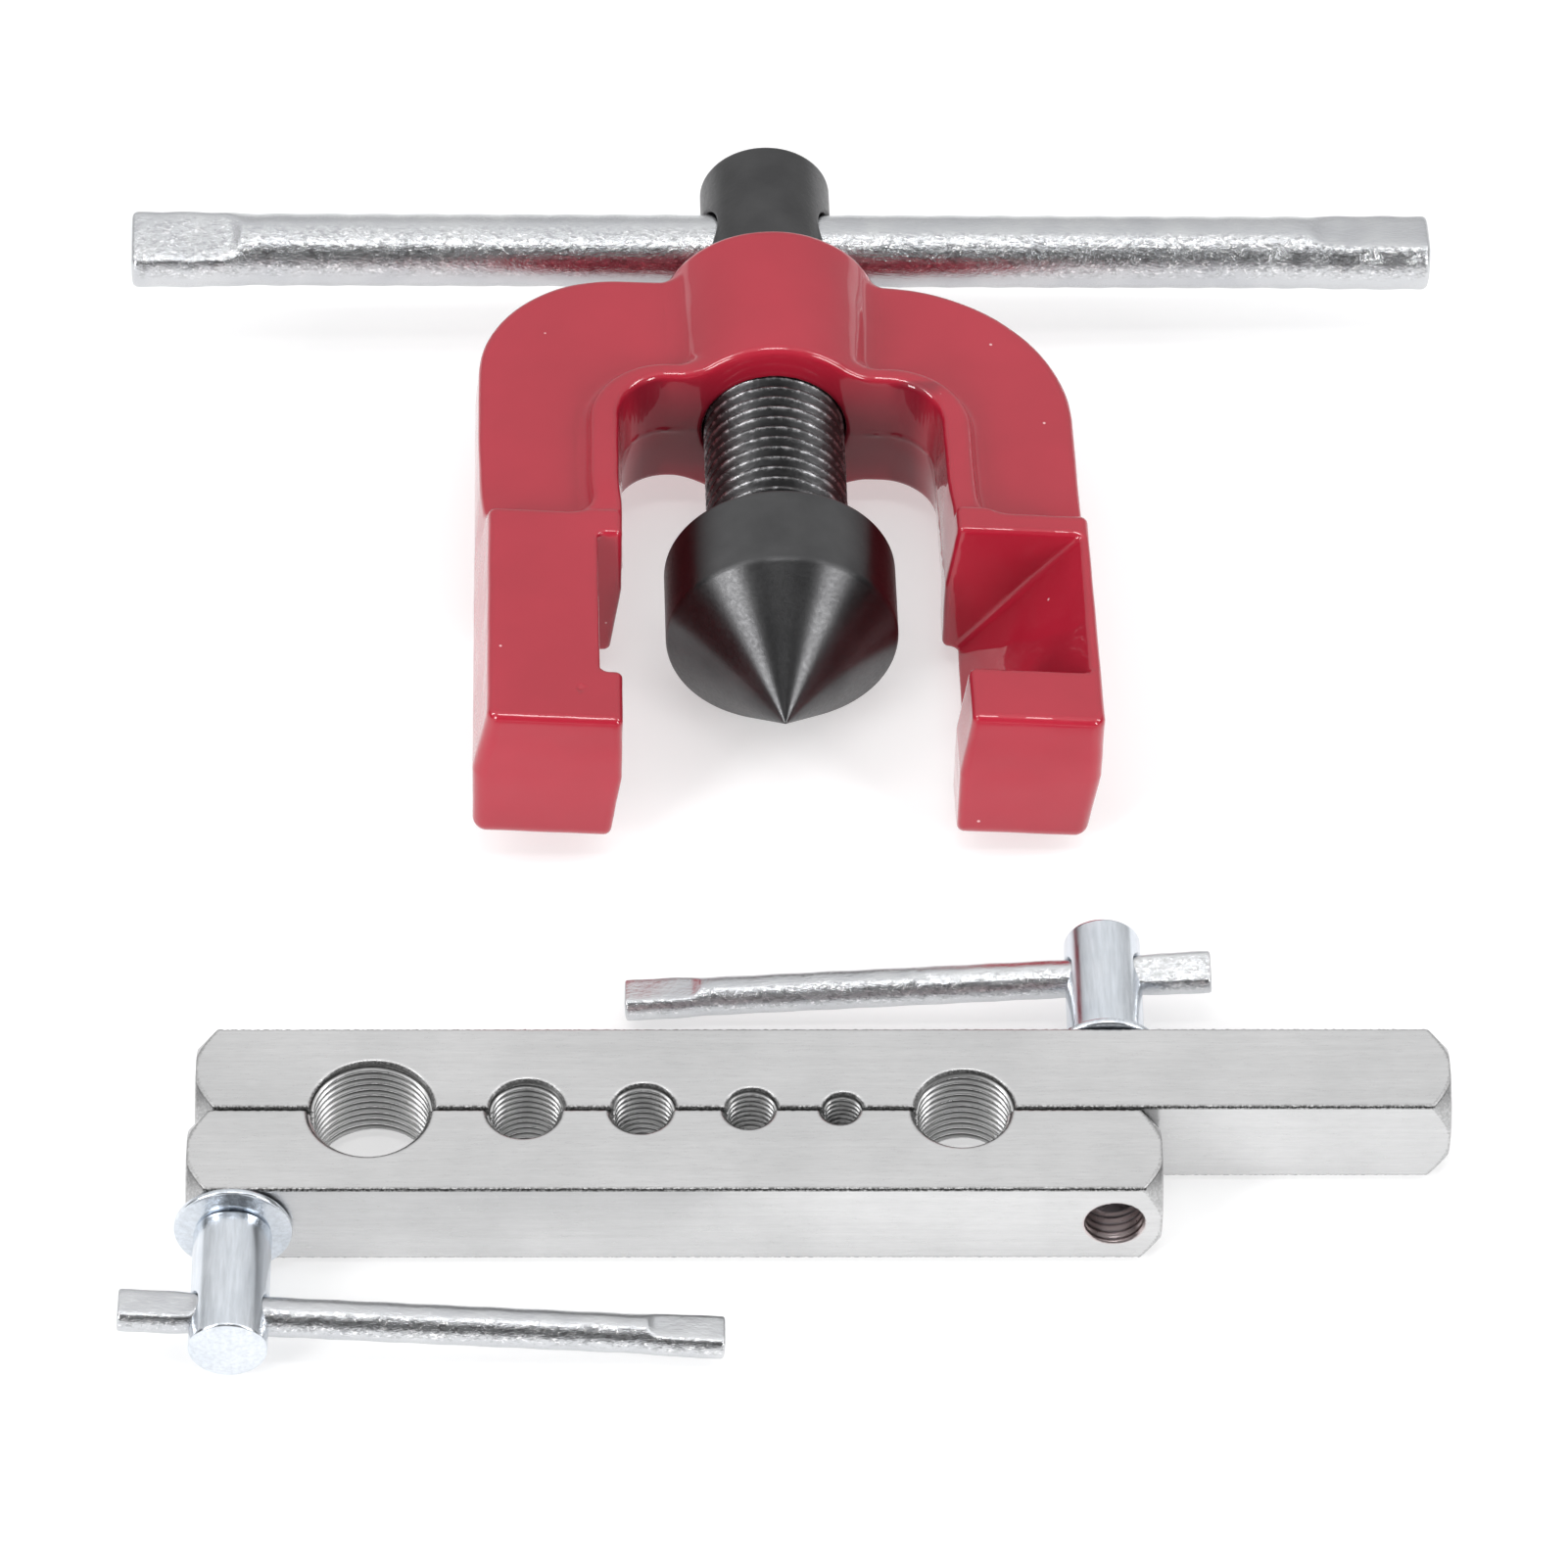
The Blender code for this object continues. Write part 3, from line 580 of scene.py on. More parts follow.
def spring_material():
    m = Material("spring_steel")
    grain = m.noise(scale=2.5, rough=0.6)
    return m.finish(Base_Color=m.tone(grain, low=(0.24, 0.24, 0.25), high=(0.33, 0.33, 0.34)),
                    Metallic=1.0, Roughness=m.span(grain, to=(0.28, 0.42)),
                    Normal=m.bump(grain, depth=0.01, strength=0.4))


def ball_material():
    m = Material("ball_steel")
    grain = m.noise(scale=1.2)
    return m.finish(Base_Color=m.tone(grain, low=(0.70, 0.70, 0.72), high=(0.76, 0.76, 0.78)),
                    Metallic=1.0, Roughness=m.span(grain, to=(0.05, 0.12)))


# ------------------------------------------------------------ frames of reference
# Yoke and screw frames: y along the feed screw towards its head, z up.
CAST_ROLL = math.radians(1.5)
yoke_at = Vector(joints["screw_turn"]["pos_m"]) / MM
feed_axis = Vector(joints["screw_turn"]["axis"])
YAW = Matrix.Rotation(math.atan2(feed_axis.x, -feed_axis.y), 3, "Z")
handle_roll = math.asin(-Vector(joints["handle_slide"]["axis"]).z)
SCREW_TURN = YAW @ Matrix.Rotation(handle_roll, 3, "Y")
yoke_frame = place(yoke_at, YAW)
cast_frame = place(yoke_at, YAW @ Matrix.Rotation(CAST_ROLL, 3, "Y"))
screw_frame = place(yoke_at, SCREW_TURN)


# ------------------------------------------------------------------- die bars
BAR = 14.0                      # width and height
MID_Z = BAR / 2
END_CONE = 7.1                  # radius of the 45 degree end cones at the end faces
DIAGONAL = 0.70711
SPLIT_Y = -7.15                 # tube holes are centred here, between the bars
HOLE_SHIFT = 0.22               # each bar's half holes are this far off, opposite ways
CLAMP_X = (-78.0, 38.2)         # left and right clamp screws
CLEAR_RADIUS = 4.35
TAP_RADIUS, TAP_DEPTH = 4.12, 0.34
CLAMP_PITCH = 1.25
GROOVE_OUT = 0.30               # tube hole grooves reach this far beyond the hole
HOLE_SLOPE = 0.85               # tames the field where threads make it steep
TUBE_HOLES = [                  # x, diameter, groove pitch, groove depth
    (-60.1, 15.875, 1.17, 0.46), (-39.6, 9.525, 1.06, 0.42), (-24.1, 7.9375, 1.02, 0.40),
    (-9.8, 6.35, 0.95, 0.37), (2.3, 4.7625, 0.88, 0.33), (18.4, 12.7, 1.12, 0.45),
]


def bar_blank(x, y, z, low, high):
    """Square bar with coned ends and slightly rolled, nicked long edges."""
    mid_y, half = (low.y + high.y) / 2, (high.y - low.y) / 2
    body = meet(np.abs(y - mid_y) - half, np.abs(z - MID_Z) - BAR / 2, 0.10)
    body = meet(body, np.maximum(low.x - x, x - high.x), 0.25)
    from_axis = np.hypot(y - mid_y, z - MID_Z) - END_CONE
    cones = np.maximum(from_axis - (x - low.x), from_axis - (high.x - x)) * DIAGONAL
    body = meet(body, cones, 0.18)
    for i in (-1, 1):
        for j in (-1, 1):
            nicks = 0.07 * wobble(x * 3.1, x * 0.9 + i, x * 5.7 + 2 * j, 1.3 + i + 2 * j)
            corner = i * (y - mid_y) - half + j * (z - MID_Z) - BAR / 2
            body = np.maximum(body, corner * DIAGONAL + 0.15 + nicks)
    return body


def bar_field(low, high, shift, clear_x, tapped_x):
    def field(x, y, z):
        body = bar_blank(x, y, z, low, high)
        for hole_x, diameter, pitch, depth in TUBE_HOLES:
            dx, dy = x - hole_x - shift, y - SPLIT_Y
            major = diameter / 2 + GROOVE_OUT
            wall = thread_radius(np.arctan2(dy, dx), z, pitch, major, depth + 0.12)
            mouth = diameter / 2 + 0.12 + np.maximum(z - (BAR - 0.5), 0.5 - z)
            body = np.maximum(body, -(np.hypot(dx, dy) - np.maximum(wall, mouth)) * HOLE_SLOPE)
        dz = z - MID_Z
        tap = thread_radius(np.arctan2(dz, x - tapped_x), y, CLAMP_PITCH, TAP_RADIUS, TAP_DEPTH)
        lip = 3.82 + np.maximum(0.24 - (y - low.y), 0.24 - (high.y - y))
        for hole_x, wall in ((clear_x, CLEAR_RADIUS), (tapped_x, tap)):
            from_axis = np.hypot(x - hole_x, dz)
            body = np.maximum(body, -(from_axis - np.maximum(wall, lip)) * HOLE_SLOPE)
        return body

    return field


def bar_marks(verts, low, high, shift, tapped_x):
    """Masks for the nickel: painted shade on edges, rims and groove valleys, coppery tapped hole
    and painted light in the bores.
    """
    x, y, z = verts.T
    mid_y, half = (low.y + high.y) / 2, BAR / 2
    off_y, off_z = np.abs(y - mid_y), np.abs(z - MID_Z)
    to_edge = np.hypot(np.minimum(np.abs(off_y - half), 5), np.minimum(np.abs(off_z - half), 5))
    # painted shade: the dark line on the upper front long edge, which faces the camera, is wider
    # than on the others
    reach = np.where((y < mid_y) & (z > MID_Z), 0.30, 0.12)
    edge = 1 - smooth((to_edge - reach) / 0.24)
    to_end = np.minimum(x - low.x, high.x - x)
    # painted shade on the rims of the coned ends
    cone_rim = np.abs(np.hypot(y - mid_y, z - MID_Z) - END_CONE - to_end) < 0.35
    edge = np.maximum(edge * 0.9, np.where(cone_rim & (to_end < 4), 0.35, 0))
    bore = np.zeros(len(x))
    for hole_x, diameter, _, _ in TUBE_HOLES:
        from_axis = np.hypot(x - hole_x - shift, y - SPLIT_Y)
        radius = diameter / 2
        # painted shade round the mouths of the tube holes
        rim = 1 - smooth((np.abs(from_axis - radius - GROOVE_OUT) - 0.1) / 0.3)
        edge = np.maximum(edge, rim * 0.75 * (off_z > 6.2))
        # painted shade: groove valleys are darker than their crests
        deep = smooth((from_axis - radius + 0.08) / 0.34)
        deep = deep * (from_axis < radius + 0.6) * (off_z < 6.6)
        edge = np.maximum(edge, 0.85 * deep)
        # painted light: the walls of the tube holes are brightened towards white in the nickel
        bore = np.maximum(bore, 1 - smooth((from_axis - radius - 0.25) / 0.2))
    bore *= smooth((half - off_z - 0.05) / 0.4)
    copper = 1 - smooth((np.hypot(x - tapped_x, z - MID_Z) - 4.02) / 0.22)
    return {"edge": edge, "copper": copper, "bore": bore}


def make_bar(name, finish, shift, clear_x, tapped_x):
    low, high = (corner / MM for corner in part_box(name))
    margin = 0.9
    verts, faces = surface_nets(
        bar_field(low, high, shift, clear_x, tapped_x),
        [c - margin for c in low], [c + margin for c in high], 0.21)
    marks = bar_marks(verts, low, high, shift, tapped_x)
    add_piece(name, name, (verts, faces), place(), finish, **marks)


# --------------------------------------------------------------- clamp screws
CLAMP_HEAD_LENGTH = 19.9
CLAMP_HEAD_RADIUS = 5.2
TOMMY_IN = 6.5                  # cross hole's axis below the end of the head
CROSS_TILT = math.radians(-4.2)
TOMMY_LENGTH, TOMMY_RADIUS = 79.5, 2.6
TOMMY_SHORT_SIDE = 14.6         # length on the short side of the screw's axis
WASHER = [                      # radius, height above the flat underside
    (4.22, 0), (7.45, 0), (7.70, 0.08), (7.8, 0.30), (7.8, 0.72), (7.74, 0.86),
    (7.62, 0.93), (6.6, 1.10), (5.4, 1.30), (4.5, 1.5), (4.32, 1.46), (4.22, 1.34),
]


def clamp_screw(tip, end):
    """Screw from tip to the end of its cross-drilled, domed head."""
    head_start = end - CLAMP_HEAD_LENGTH
    cosine, sine = math.cos(CROSS_TILT), math.sin(CROSS_TILT)

    def head(x, y, z):
        body = meet(np.hypot(x, z) - CLAMP_HEAD_RADIUS, y - end, 0.6)
        body = meet(body, head_start - y, 0.12)
        body = meet(body, dome(x, y, z, end, 26.0), 0.3)
        hole = np.hypot(y - (end - TOMMY_IN), z * cosine + x * sine) - 2.9
        return cut(body, hole, 0.28)

    head_mesh = surface_nets(head, (-5.8, head_start - 0.6, -5.8), (5.8, end + 0.6, 5.8),
                             0.17)
    verts, faces, _ = screw_thread(major=3.86, depth=0.62, pitch=CLAMP_PITCH, start=tip,
                                   end=head_start + 0.8, segs=64, taper=1.2)
    return joined(head_mesh, (verts, faces))


def washer(under):
    """Washer with flat underside, slightly dished top and rolled rim."""
    line = []
    for (r0, y0), (r1, y1) in zip(WASHER, WASHER[1:] + WASHER[:1]):
        for k in range(3):
            t = k / 3
            line.append((r0 + (r1 - r0) * t, under + y0 + (y1 - y0) * t))
    return tube(turned(np.array(line), 128), closed=True)


def make_clamp(side, sign, turns, zinc, bar_zinc):
    """Clamp screw, washer and tommy bar; local y runs to the head, which is at
    the back for sign 1 and at the front for -1.  turns: of the tommy bar's flats."""
    at = joints[side + "_clamp_turn"]["pos_m"]
    face_y = at[1] / MM
    turn = Matrix.Identity(3) if sign > 0 else Matrix.Rotation(math.pi, 3, "Z")
    clamp_frame = place((at[0] / MM, face_y, at[2] / MM), turn)

    def local_range(name):
        low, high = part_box(name)
        ends = (low.y, high.y) if sign > 0 else (-high.y, -low.y)
        return [end / MM - sign * face_y for end in ends]

    tip, end = local_range(side + "_clamp_screw")
    under, _ = local_range(side + "_clamp_washer")
    body = side + "_clamp"
    add_piece(side + "_clamp_screw", body, clamp_screw(tip, end), clamp_frame, zinc)
    add_piece(side + "_clamp_washer", body, washer(under), clamp_frame, zinc)

    drop = math.asin(-Vector(joints[side + "_tommy_slide"]["axis"]).z)
    cross = (at[0] / MM, face_y + sign * (end - TOMMY_IN), at[2] / MM)
    shift = -sign * (TOMMY_LENGTH / 2 - TOMMY_SHORT_SIDE)
    presses = [(10.4, 1.95, math.radians(angle), 0.32) for angle in turns]
    add_piece(side + "_tommy_bar", side + "_tommy",
              swaged_bar(TOMMY_LENGTH, TOMMY_RADIUS, shift, presses, segs=72),
              place(cross, Matrix.Rotation(drop, 3, "Y")), bar_zinc)


# ----------------------------------------------------------------------- yoke
# Local x across, y towards the screw's head, z up; halves are measured from the axes.
CAST_HALF, ARM_HALF = 11.6, 10.2                # thickness of pads and of arms
DRAFT = 0.75
CROWN_Y, ROOF_Y, PAD_Y, FOOT_Y = 11.1, -12.5, -38.8, -80.2
OUTER_HALF, OUTER_FOOT_HALF = 42.2, 43.2
THROAT_HALF, THROAT_FOOT_HALF = 22.6, 23.6
RIM, ROOF_RIM, WEB_HALF = 5.0, 4.0, 7.4         # raised rim round the throat, arm web
NOTCH_Y = (-70.2, -43.8)
NOTCH_WIDE_X, NOTCH_NARROW_X = 41.2, 26.0
LEG_MID_X, LEG_LEAN = 33.0, math.radians(3.0)
ARM_TWIST = math.radians(1.5)
BOSS_RADIUS, BORE_RADIUS = 15.2, 10.25


def leaned(x, y, z):
    """The legs' sections lean a little against the arms, each about its own middle."""
    lean = LEG_LEAN * smooth((-31.0 - y) / 9.0)
    side = np.where(x > 0, LEG_MID_X, -LEG_MID_X)
    cosine, sine = np.cos(lean), np.sin(lean)
    return side + cosine * (x - side) - sine * z, sine * (x - side) + cosine * z


def yoke_outline(x, y, z, draft):
    """The solid yoke, before throat, webs, boss and notches."""
    down = (CROWN_Y - y) / (CROWN_Y - FOOT_Y)
    half = OUTER_HALF + (OUTER_FOOT_HALF - OUTER_HALF) * down
    # the left flank swells a little towards its upper side
    swell = 0.7 * np.clip(z, 0, CAST_HALF) / CAST_HALF * smooth((-20 - y) / 20)
    outer = meet(x - half, y - CROWN_Y, 27.0)
    outer = meet(outer, -x - half + swell, 20.0) + draft
    outer = meet(outer, FOOT_Y - y + draft * 0.2, 1.9)
    body = meet(outer, z - CAST_HALF, 1.1)
    return meet(body, -z - CAST_HALF - 0.6 * smooth((-34.0 - y) / 12.0), 2.2)


def cut_arms(body, x, y, twisted, throat_half):
    """Arms lower than the pads, with a raised rim round the throat."""
    rim_half = ARM_HALF + 0.75 * smooth((ROOF_Y - y) / (ROOF_Y - PAD_Y))
    above = np.maximum(PAD_Y - y, rim_half - np.abs(twisted))
    body = cut(body, above, 0.9)
    rim = meet(np.abs(x) - throat_half - RIM, y - (ROOF_Y + ROOF_RIM), 11.5)
    web = meet(-rim, PAD_Y - y, 3.2) - 0.20 * (np.abs(twisted) - WEB_HALF)
    recess = meet(web, WEB_HALF - np.abs(twisted), 1.6)
    return cut(body, recess, 1.0)


def cut_notches(body, x, y, z):
    """A notch inside each leg, widening upwards on the right, downwards on the left."""
    slope = (NOTCH_WIDE_X - NOTCH_NARROW_X) / (2 * CAST_HALF)
    to_distance = 1 / math.hypot(1, slope)
    for side in (1, -1):
        wall = (side * x - NOTCH_NARROW_X - (side * z + CAST_HALF) * slope) * to_distance
        notch = meet(wall, np.maximum(NOTCH_Y[0] - y, y - NOTCH_Y[1]), 0.9)
        body = cut(body, np.maximum(notch, 12 - side * x), 0.75)
    return body


def yoke_field(x, y, z):
    x, z = leaned(x, y, z)
    in_throat = np.clip((ROOF_Y - y) / (ROOF_Y - FOOT_Y), 0, 1)
    throat_half = THROAT_HALF + (THROAT_FOOT_HALF - THROAT_HALF) * in_throat
    throat_half = throat_half - np.where(x < 0, 0.9, 0.0)   # the left leg is thicker
    # arms are turned a little against the legs; blend between the two
    twisted = z * math.cos(ARM_TWIST) + x * math.sin(ARM_TWIST)
    level = z + (twisted - z) * smooth((y - PAD_Y + 1.0) / 4.0)
    draft = DRAFT * np.abs(level) / CAST_HALF
    body = yoke_outline(x, y, z, draft)
    body = cut_arms(body, x, y, twisted, throat_half)
    # boss, flush with the roof of the throat, and its bore
    from_axis = np.hypot(x, z)
    boss_radius = BOSS_RADIUS + 0.6 * (y + 12.8) / 25.8
    boss = meet(from_axis - boss_radius, np.maximum(-17.0 - y, y - 13.0), 1.1)
    body = unite(body, boss, 1.9)
    throat = meet(np.abs(x) - throat_half, y - ROOF_Y, 7.0) - draft
    body = cut(body, throat, 0.95)
    flare = np.clip(np.maximum(-12.1 - y, y - 12.5), 0, 0.45)
    body = cut(body, np.maximum(from_axis - BORE_RADIUS - flare, np.abs(y) - 18), 0.3)
    body = cut_notches(body, x, y, z)
    # parting line flash inside the throat and a slight unevenness
    seam = np.exp(-(level / 0.34) ** 2) * (0.09 + 0.09 * wobble(x * 1.9, y * 1.9, 0 * z, 0.8))
    inner = smooth((y + 42.0) / 3.0) * smooth((24.5 - np.abs(x)) / 1.0)
    body = body - seam * (inner * smooth((from_axis - 12.0) / 2.0))
    body = body + 0.035 * wobble(x * 0.55, y * 0.55, z * 0.6, 2.0)
    # a casting pit on the left pad
    pit = np.sqrt((x + 29.1) ** 2 + (y + 74.0) ** 2 + (z - CAST_HALF - 0.15) ** 2) - 0.55
    return cut(body, pit, 0.12)


def make_yoke(finish):
    verts, faces = surface_nets(yoke_field, (-45.2, -82.2, -17.4), (45.2, 14.6, 17.4),
                                0.4)
    x, y, z = verts.T
    twisted = z + x * math.sin(ARM_TWIST) * smooth((y - PAD_Y + 1.0) / 4.0)
    parting = np.exp(-(twisted / 0.30) ** 2)
    parting *= smooth((wobble(x * 1.3, y * 1.3, z * 0.5, 1.1) + 0.3) / 0.4)
    parting *= smooth((y + 42.0) / 3.0) * (np.abs(x) < 24.5)
    # painted shade: the throat's roof, up to the boss's round, is darkened in colour
    shade = smooth((y + 15.5) / 2.5) * smooth((24.0 - np.abs(x)) / 2.0)
    shade *= smooth((-y - 11.6) / 0.6)
    boss_top = np.sqrt(np.maximum(0, 14.6 ** 2 - x * x))
    shade *= smooth((10.6 + np.maximum(0, boss_top - 10.6) - z) / 1.2)
    add_piece("yoke_casting", "yoke", (verts, faces), cast_frame, finish,
              parting=parting, shade=shade)


# ------------------------------------------------------- feed screw, handle, cone
FEED_HEAD_RADIUS, FEED_HEAD_END = 9.4, 38.1
HANDLE_Y, HANDLE_RADIUS = 25.0, 5.2
RING_Y = -43.8
BALL_Y, BALL_RADIUS = -51.1, 1.9
SPIGOT = [                      # radius, y, corner rounding
    (0, -49.0, 0), (4.5, -49.0, 0.3), (5.0, -48.4, 0.3), (5.0, -44.6, 0.1), (4.2, -44.6, 0.1),
    (4.2, -43.0, 0.1), (5.0, -43.0, 0.1), (5.0, -38.5, 0.1), (0, -38.5, 0),
]
CONE = [                        # radius, y, corner rounding
    (0, -69.65, 0), (0.12, -69.62, 0.05), (2.0, -67.74, 0), (6.0, -63.74, 0),
    (11.0, -58.74, 0), (16.0, -53.74, 0.35), (16.2, -53.2, 0.3), (16.2, -48.0, 0),
    (16.2, -40.5, 0.5), (15.3, -39.6, 0.5), (10.0, -39.6, 0), (5.9, -39.6, 0.2),
    (5.4, -40.1, 0.2), (5.4, -42.9, 0.05), (6.4, -42.9, 0.05), (6.4, -44.7, 0.05),
    (5.4, -44.7, 0.05), (5.4, -53.2, 0.3), (0, -53.2, 0),
]
RING_SECTION = [                # radius, height from the ring's middle
    (4.5, -0.42), (4.58, -0.5), (5.92, -0.5), (6.0, -0.42),
    (6.0, 0.42), (5.92, 0.5), (4.58, 0.5), (4.5, 0.42),
]
RING_MID_RADIUS = 5.25


def feed_head(x, y, z):
    """Domed, cross-drilled head on a short neck."""
    from_axis = np.hypot(x, z)
    ends = np.maximum(16.9 - y, y - FEED_HEAD_END)
    body = meet(from_axis - FEED_HEAD_RADIUS, ends, 0.9)
    body = meet(body, dome(x, y, z, FEED_HEAD_END, 60), 0.8)
    body = cut(body, np.hypot(y - HANDLE_Y, z) - 5.6, 0.45)
    return np.minimum(body, meet(from_axis - 8.7, np.abs(y - 16.5) - 1.6, 0.3))


def make_feed_screw(finish):
    verts, faces, thread_crest = screw_thread(
        major=10.0, depth=1.15, pitch=2.0, start=-39.1, end=16.6, segs=160, taper=1.0,
        unevenness=0.03)
    head = surface_nets(feed_head, (-10.2, 14.0, -10.2), (10.2, 39.2, 10.2),
                        0.25)
    screw = joined((verts, faces), head, revolve(SPIGOT, 96))
    crest = np.zeros(len(screw[0]))
    crest[:len(verts)] = thread_crest
    add_piece("feed_screw", "feed_screw", screw, screw_frame, finish, crest=crest)


def make_handle(finish):
    presses = [(16.0, 3.75, math.radians(17), 0.34), (17.6, 4.32, math.radians(-2), 0.30)]
    add_piece("feed_handle", "feed_handle",
              swaged_bar(188.0, HANDLE_RADIUS, 2.2, presses, segs=120),
              place(yoke_at + YAW @ Vector((0, HANDLE_Y, 0)), SCREW_TURN), finish)


def make_retaining_ring(finish):
    """Ring open over 70 degrees, in the spigot's groove inside the cone."""
    steps = 80
    angles = np.radians(45) + np.radians(290) * np.arange(steps + 1) / steps
    rings = np.array([[(r * math.cos(a), RING_Y + h, r * math.sin(a)) for r, h in RING_SECTION]
                      for a in angles])
    caps = []
    for ring, a in ((rings[:1], angles[0]), (rings[-1:], angles[-1])):
        middle = np.array((RING_MID_RADIUS * math.cos(a), RING_Y, RING_MID_RADIUS * math.sin(a)))
        caps.append(middle + (ring - middle) * 0.002)
    add_piece("cone_retaining_ring", "cone", tube(np.concatenate([caps[0], rings, caps[1]])),
              yoke_frame, finish)


def make_ball(finish):
    profile = [(BALL_RADIUS * math.sin(math.pi * k / 40),
                BALL_Y - BALL_RADIUS * math.cos(math.pi * k / 40), 0) for k in range(41)]
    add_piece("thrust_ball", "cone", revolve(profile, 80), yoke_frame, finish)


# ------------------------------------------------------------------- the scene
def build():
    nickel = (nickel_material(), "die_nickel")
    zinc = (zinc_material(), "bright_zinc")
    bar_zinc = (bar_material(), "bar_zinc")
    red = (enamel_material(), "red_enamel")
    black_cone = (black_material("black_oxide_cone", screw_frame), "black_oxide")
    black_screw = (black_material("black_oxide_screw", screw_frame, wear_and_glint=True), "black_oxide")
    spring = (spring_material(), "spring_steel")
    ball = (ball_material(), "ball_steel")

    left_x, right_x = CLAMP_X
    make_bar("long_bar", nickel, HOLE_SHIFT, clear_x=right_x, tapped_x=left_x)
    make_bar("short_bar", nickel, -HOLE_SHIFT, clear_x=left_x, tapped_x=right_x)
    make_clamp("left", -1, (3.0, 1.0), zinc, bar_zinc)
    make_clamp("right", 1, (-1.0, 18.0), zinc, bar_zinc)
    make_yoke(red)
    make_feed_screw(black_screw)
    make_handle(bar_zinc)
    add_piece("flaring_cone", "cone", revolve(CONE, 192), screw_frame, black_cone)
    make_retaining_ring(spring)
    make_ball(ball)


def floor():
    m = Material("studio_floor")
    tone = m.tone(m.noise(scale=0.004, detail=2.0),
                  low=(0.56, 0.56, 0.563), high=(0.58, 0.58, 0.583))
    m.finish(Base_Color=tone, Roughness=0.9, Specular_IOR_Level=0.1,
             Emission_Color=(1, 1, 1), Emission_Strength=0.50)
    mesh = bpy.data.meshes.new("floor")
    half, z = 6.0, -0.8 * MM
    corners = [(-half, -half, z), (half, -half, z), (half, half, z), (-half, half, z)]
    mesh.from_pydata(corners, [], [(0, 1, 2, 3)])
    mesh.materials.append(m.mat)
    obj = bpy.data.objects.new("floor", mesh)
    bpy.context.scene.collection.objects.link(obj)


# Room brightness over the arc from the front horizon (0) overhead to the back (1).
ROOM = [
    (0.0, 0.20), (0.02, 0.16), (0.24, 0.16), (0.32, 0.30), (0.40, 0.55),
    (0.55, 0.60), (0.64, 0.86), (0.74, 0.99), (0.84, 0.76), (1.0, 0.55),
]


def room():
    world = bpy.data.worlds.new("studio")
    bpy.context.scene.world = world
    world.use_nodes = True
    world.node_tree.nodes.clear()
    g = Graph(world.node_tree)
    direction = g.add("ShaderNodeTexCoord").outputs["Generated"]
    axes = g.add("ShaderNodeSeparateXYZ", {0: direction}).outputs
    angle = g.math("ARCTAN2", axes["Z"], g.times(axes["Y"], -1))
    arc = g.math("DIVIDE", angle, math.pi)
    # the room falls dark to either side
    sides = g.span(g.math("ABSOLUTE", axes["X"]), over=(0.80, 0.93), to=(1.0, 0.12))
    lit = g.add("ShaderNodeBackground", {"Color": g.ramp(arc, ROOM), "Strength": sides})
    # seen directly, past the floor's edge, the room is a plain pale backdrop
    plain = g.add("ShaderNodeBackground", {"Color": (0.86, 0.86, 0.86)})
    seen = g.add("ShaderNodeLightPath").outputs["Is Camera Ray"]
    either = g.add("ShaderNodeMixShader", {0: seen, 1: lit.outputs[0], 2: plain.outputs[0]})
    g.add("ShaderNodeOutputWorld", {0: either.outputs[0]})


# Area lights: name, place and target in metres, width and height, power in watts.
ROOM_LIGHTS = [
    ("softbox_top", (0.0, 0.15, 1.25), (0.0, 0.06, 0.0), (2.0, 1.0), 3.0),
    ("strip_over", (0.0, -0.20, 1.15), (0.0, 0.06, 0.0), (0.5, 0.12), 1.5),
    ("key_left", (-0.75, -0.70, 0.53), (0.0, 0.06, 0.0), (0.26, 0.5), 7.0),
    ("key_right", (0.78, -0.68, 0.53), (0.0, 0.06, 0.0), (0.22, 0.5), 5.8),
    ("strip_left", (-0.95, 0.02, 0.95), (0.0, 0.08, 0.0), (0.14, 0.9), 2.6),
    ("strip_right", (1.0, 0.10, 0.90), (0.0, 0.08, 0.0), (0.14, 0.9), 2.2),
]
GLOSS_LIGHTS = [
    ("gloss_over", (0.0, -0.03, 1.20), (0.0, 0.10, 0.0), (0.5, 0.16), 4.5),
    ("gloss_left", (-0.90, 0.0, 0.80), (0.0, 0.10, 0.0), (0.22, 0.5), 4.0),
    ("gloss_right", (0.92, 0.0, 0.80), (0.0, 0.10, 0.0), (0.22, 0.5), 4.0),
]
FILL_LIGHT = ("fill_front", (0.0, -1.0, 0.12), (0.0, 0.06, 0.02), (0.6, 0.3), 4.0)


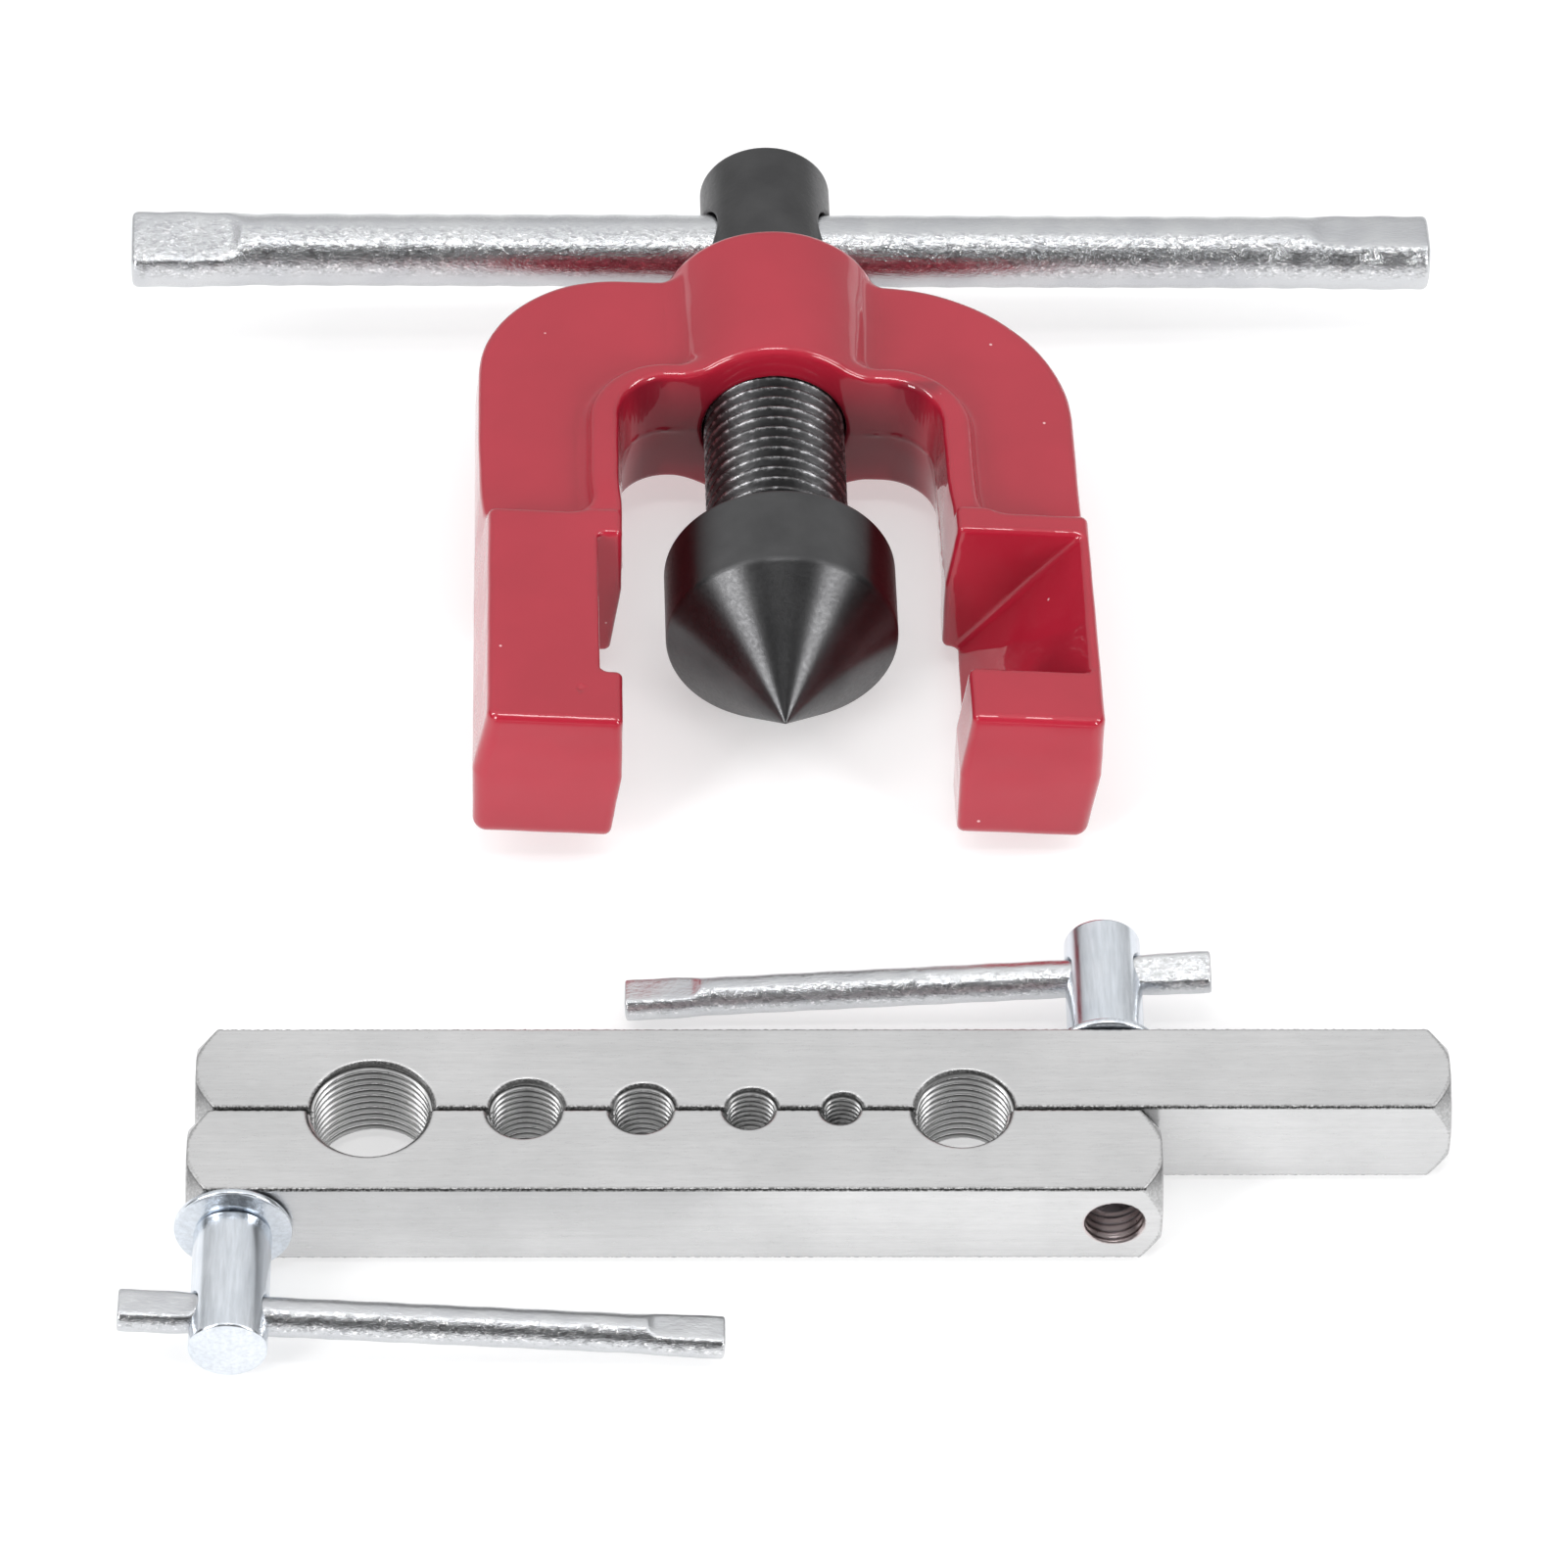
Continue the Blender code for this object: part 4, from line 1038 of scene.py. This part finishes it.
def area(name, at, target, size, power):
    data = bpy.data.lights.new(name, "AREA")
    data.shape = "RECTANGLE"
    data.size, data.size_y = size
    data.energy = power
    obj = bpy.data.objects.new(name, data)
    obj.location = at
    obj.rotation_euler = (Vector(target) - Vector(at)).to_track_quat("-Z", "Y").to_euler()
    bpy.context.scene.collection.objects.link(obj)
    return obj


def objects_with(material, name):
    """Collection of the mesh objects that carry a material."""
    group = bpy.data.collections.new(name)
    for obj in bpy.context.scene.objects:
        if obj.type == "MESH" and any(
                m and m.name.startswith(material) for m in obj.data.materials):
            group.objects.link(obj)
    return group


def lights():
    lamps = {row[0]: area(*row) for row in ROOM_LIGHTS}
    # the low front lights are for the black and red parts, not for the bars' bores
    not_bars = objects_with("nickel_plate", "not_bars")
    for link in not_bars.collection_objects:
        link.light_linking.link_state = "EXCLUDE"
    for name in ("key_left", "key_right"):
        lamps[name].light_linking.receiver_collection = not_bars
    # bright strips that only the enamel's wet coat picks up
    enamel = objects_with("red_enamel", "enamel_gloss")
    for row in GLOSS_LIGHTS:
        lamp = area(*row)
        lamp.visible_diffuse = False
        lamp.light_linking.receiver_collection = enamel
    fill = area(*FILL_LIGHT)
    fill.visible_glossy = False
    fill.light_linking.receiver_collection = enamel


CAMERA_TARGET = Vector((-19.604, 64.913, 0.0)) * MM
CAMERA_DISTANCE = 1.22699
CAMERA_ELEVATION = math.radians(46.8)
CAMERA_PAN = math.radians(0.7002469)    # to the right of the target


def camera():
    data = bpy.data.cameras.new("camera")
    data.sensor_fit = "HORIZONTAL"
    data.sensor_width = 36.0
    data.lens = 202.373517
    data.clip_start = 0.05
    data.clip_end = 30.0
    obj = bpy.data.objects.new("camera", data)
    back = Vector((0, -math.cos(CAMERA_ELEVATION), math.sin(CAMERA_ELEVATION)))
    obj.location = CAMERA_TARGET + CAMERA_DISTANCE * back
    tilt = Matrix.Rotation(math.radians(90) - CAMERA_ELEVATION, 3, "X")
    obj.rotation_euler = (tilt @ Matrix.Rotation(-CAMERA_PAN, 3, "Y")).to_euler()
    bpy.context.scene.collection.objects.link(obj)
    bpy.context.scene.camera = obj


build()
floor()
room()
lights()
camera()
scene = bpy.context.scene
scene.view_settings.view_transform = "Standard"
scene.view_settings.look = "None"
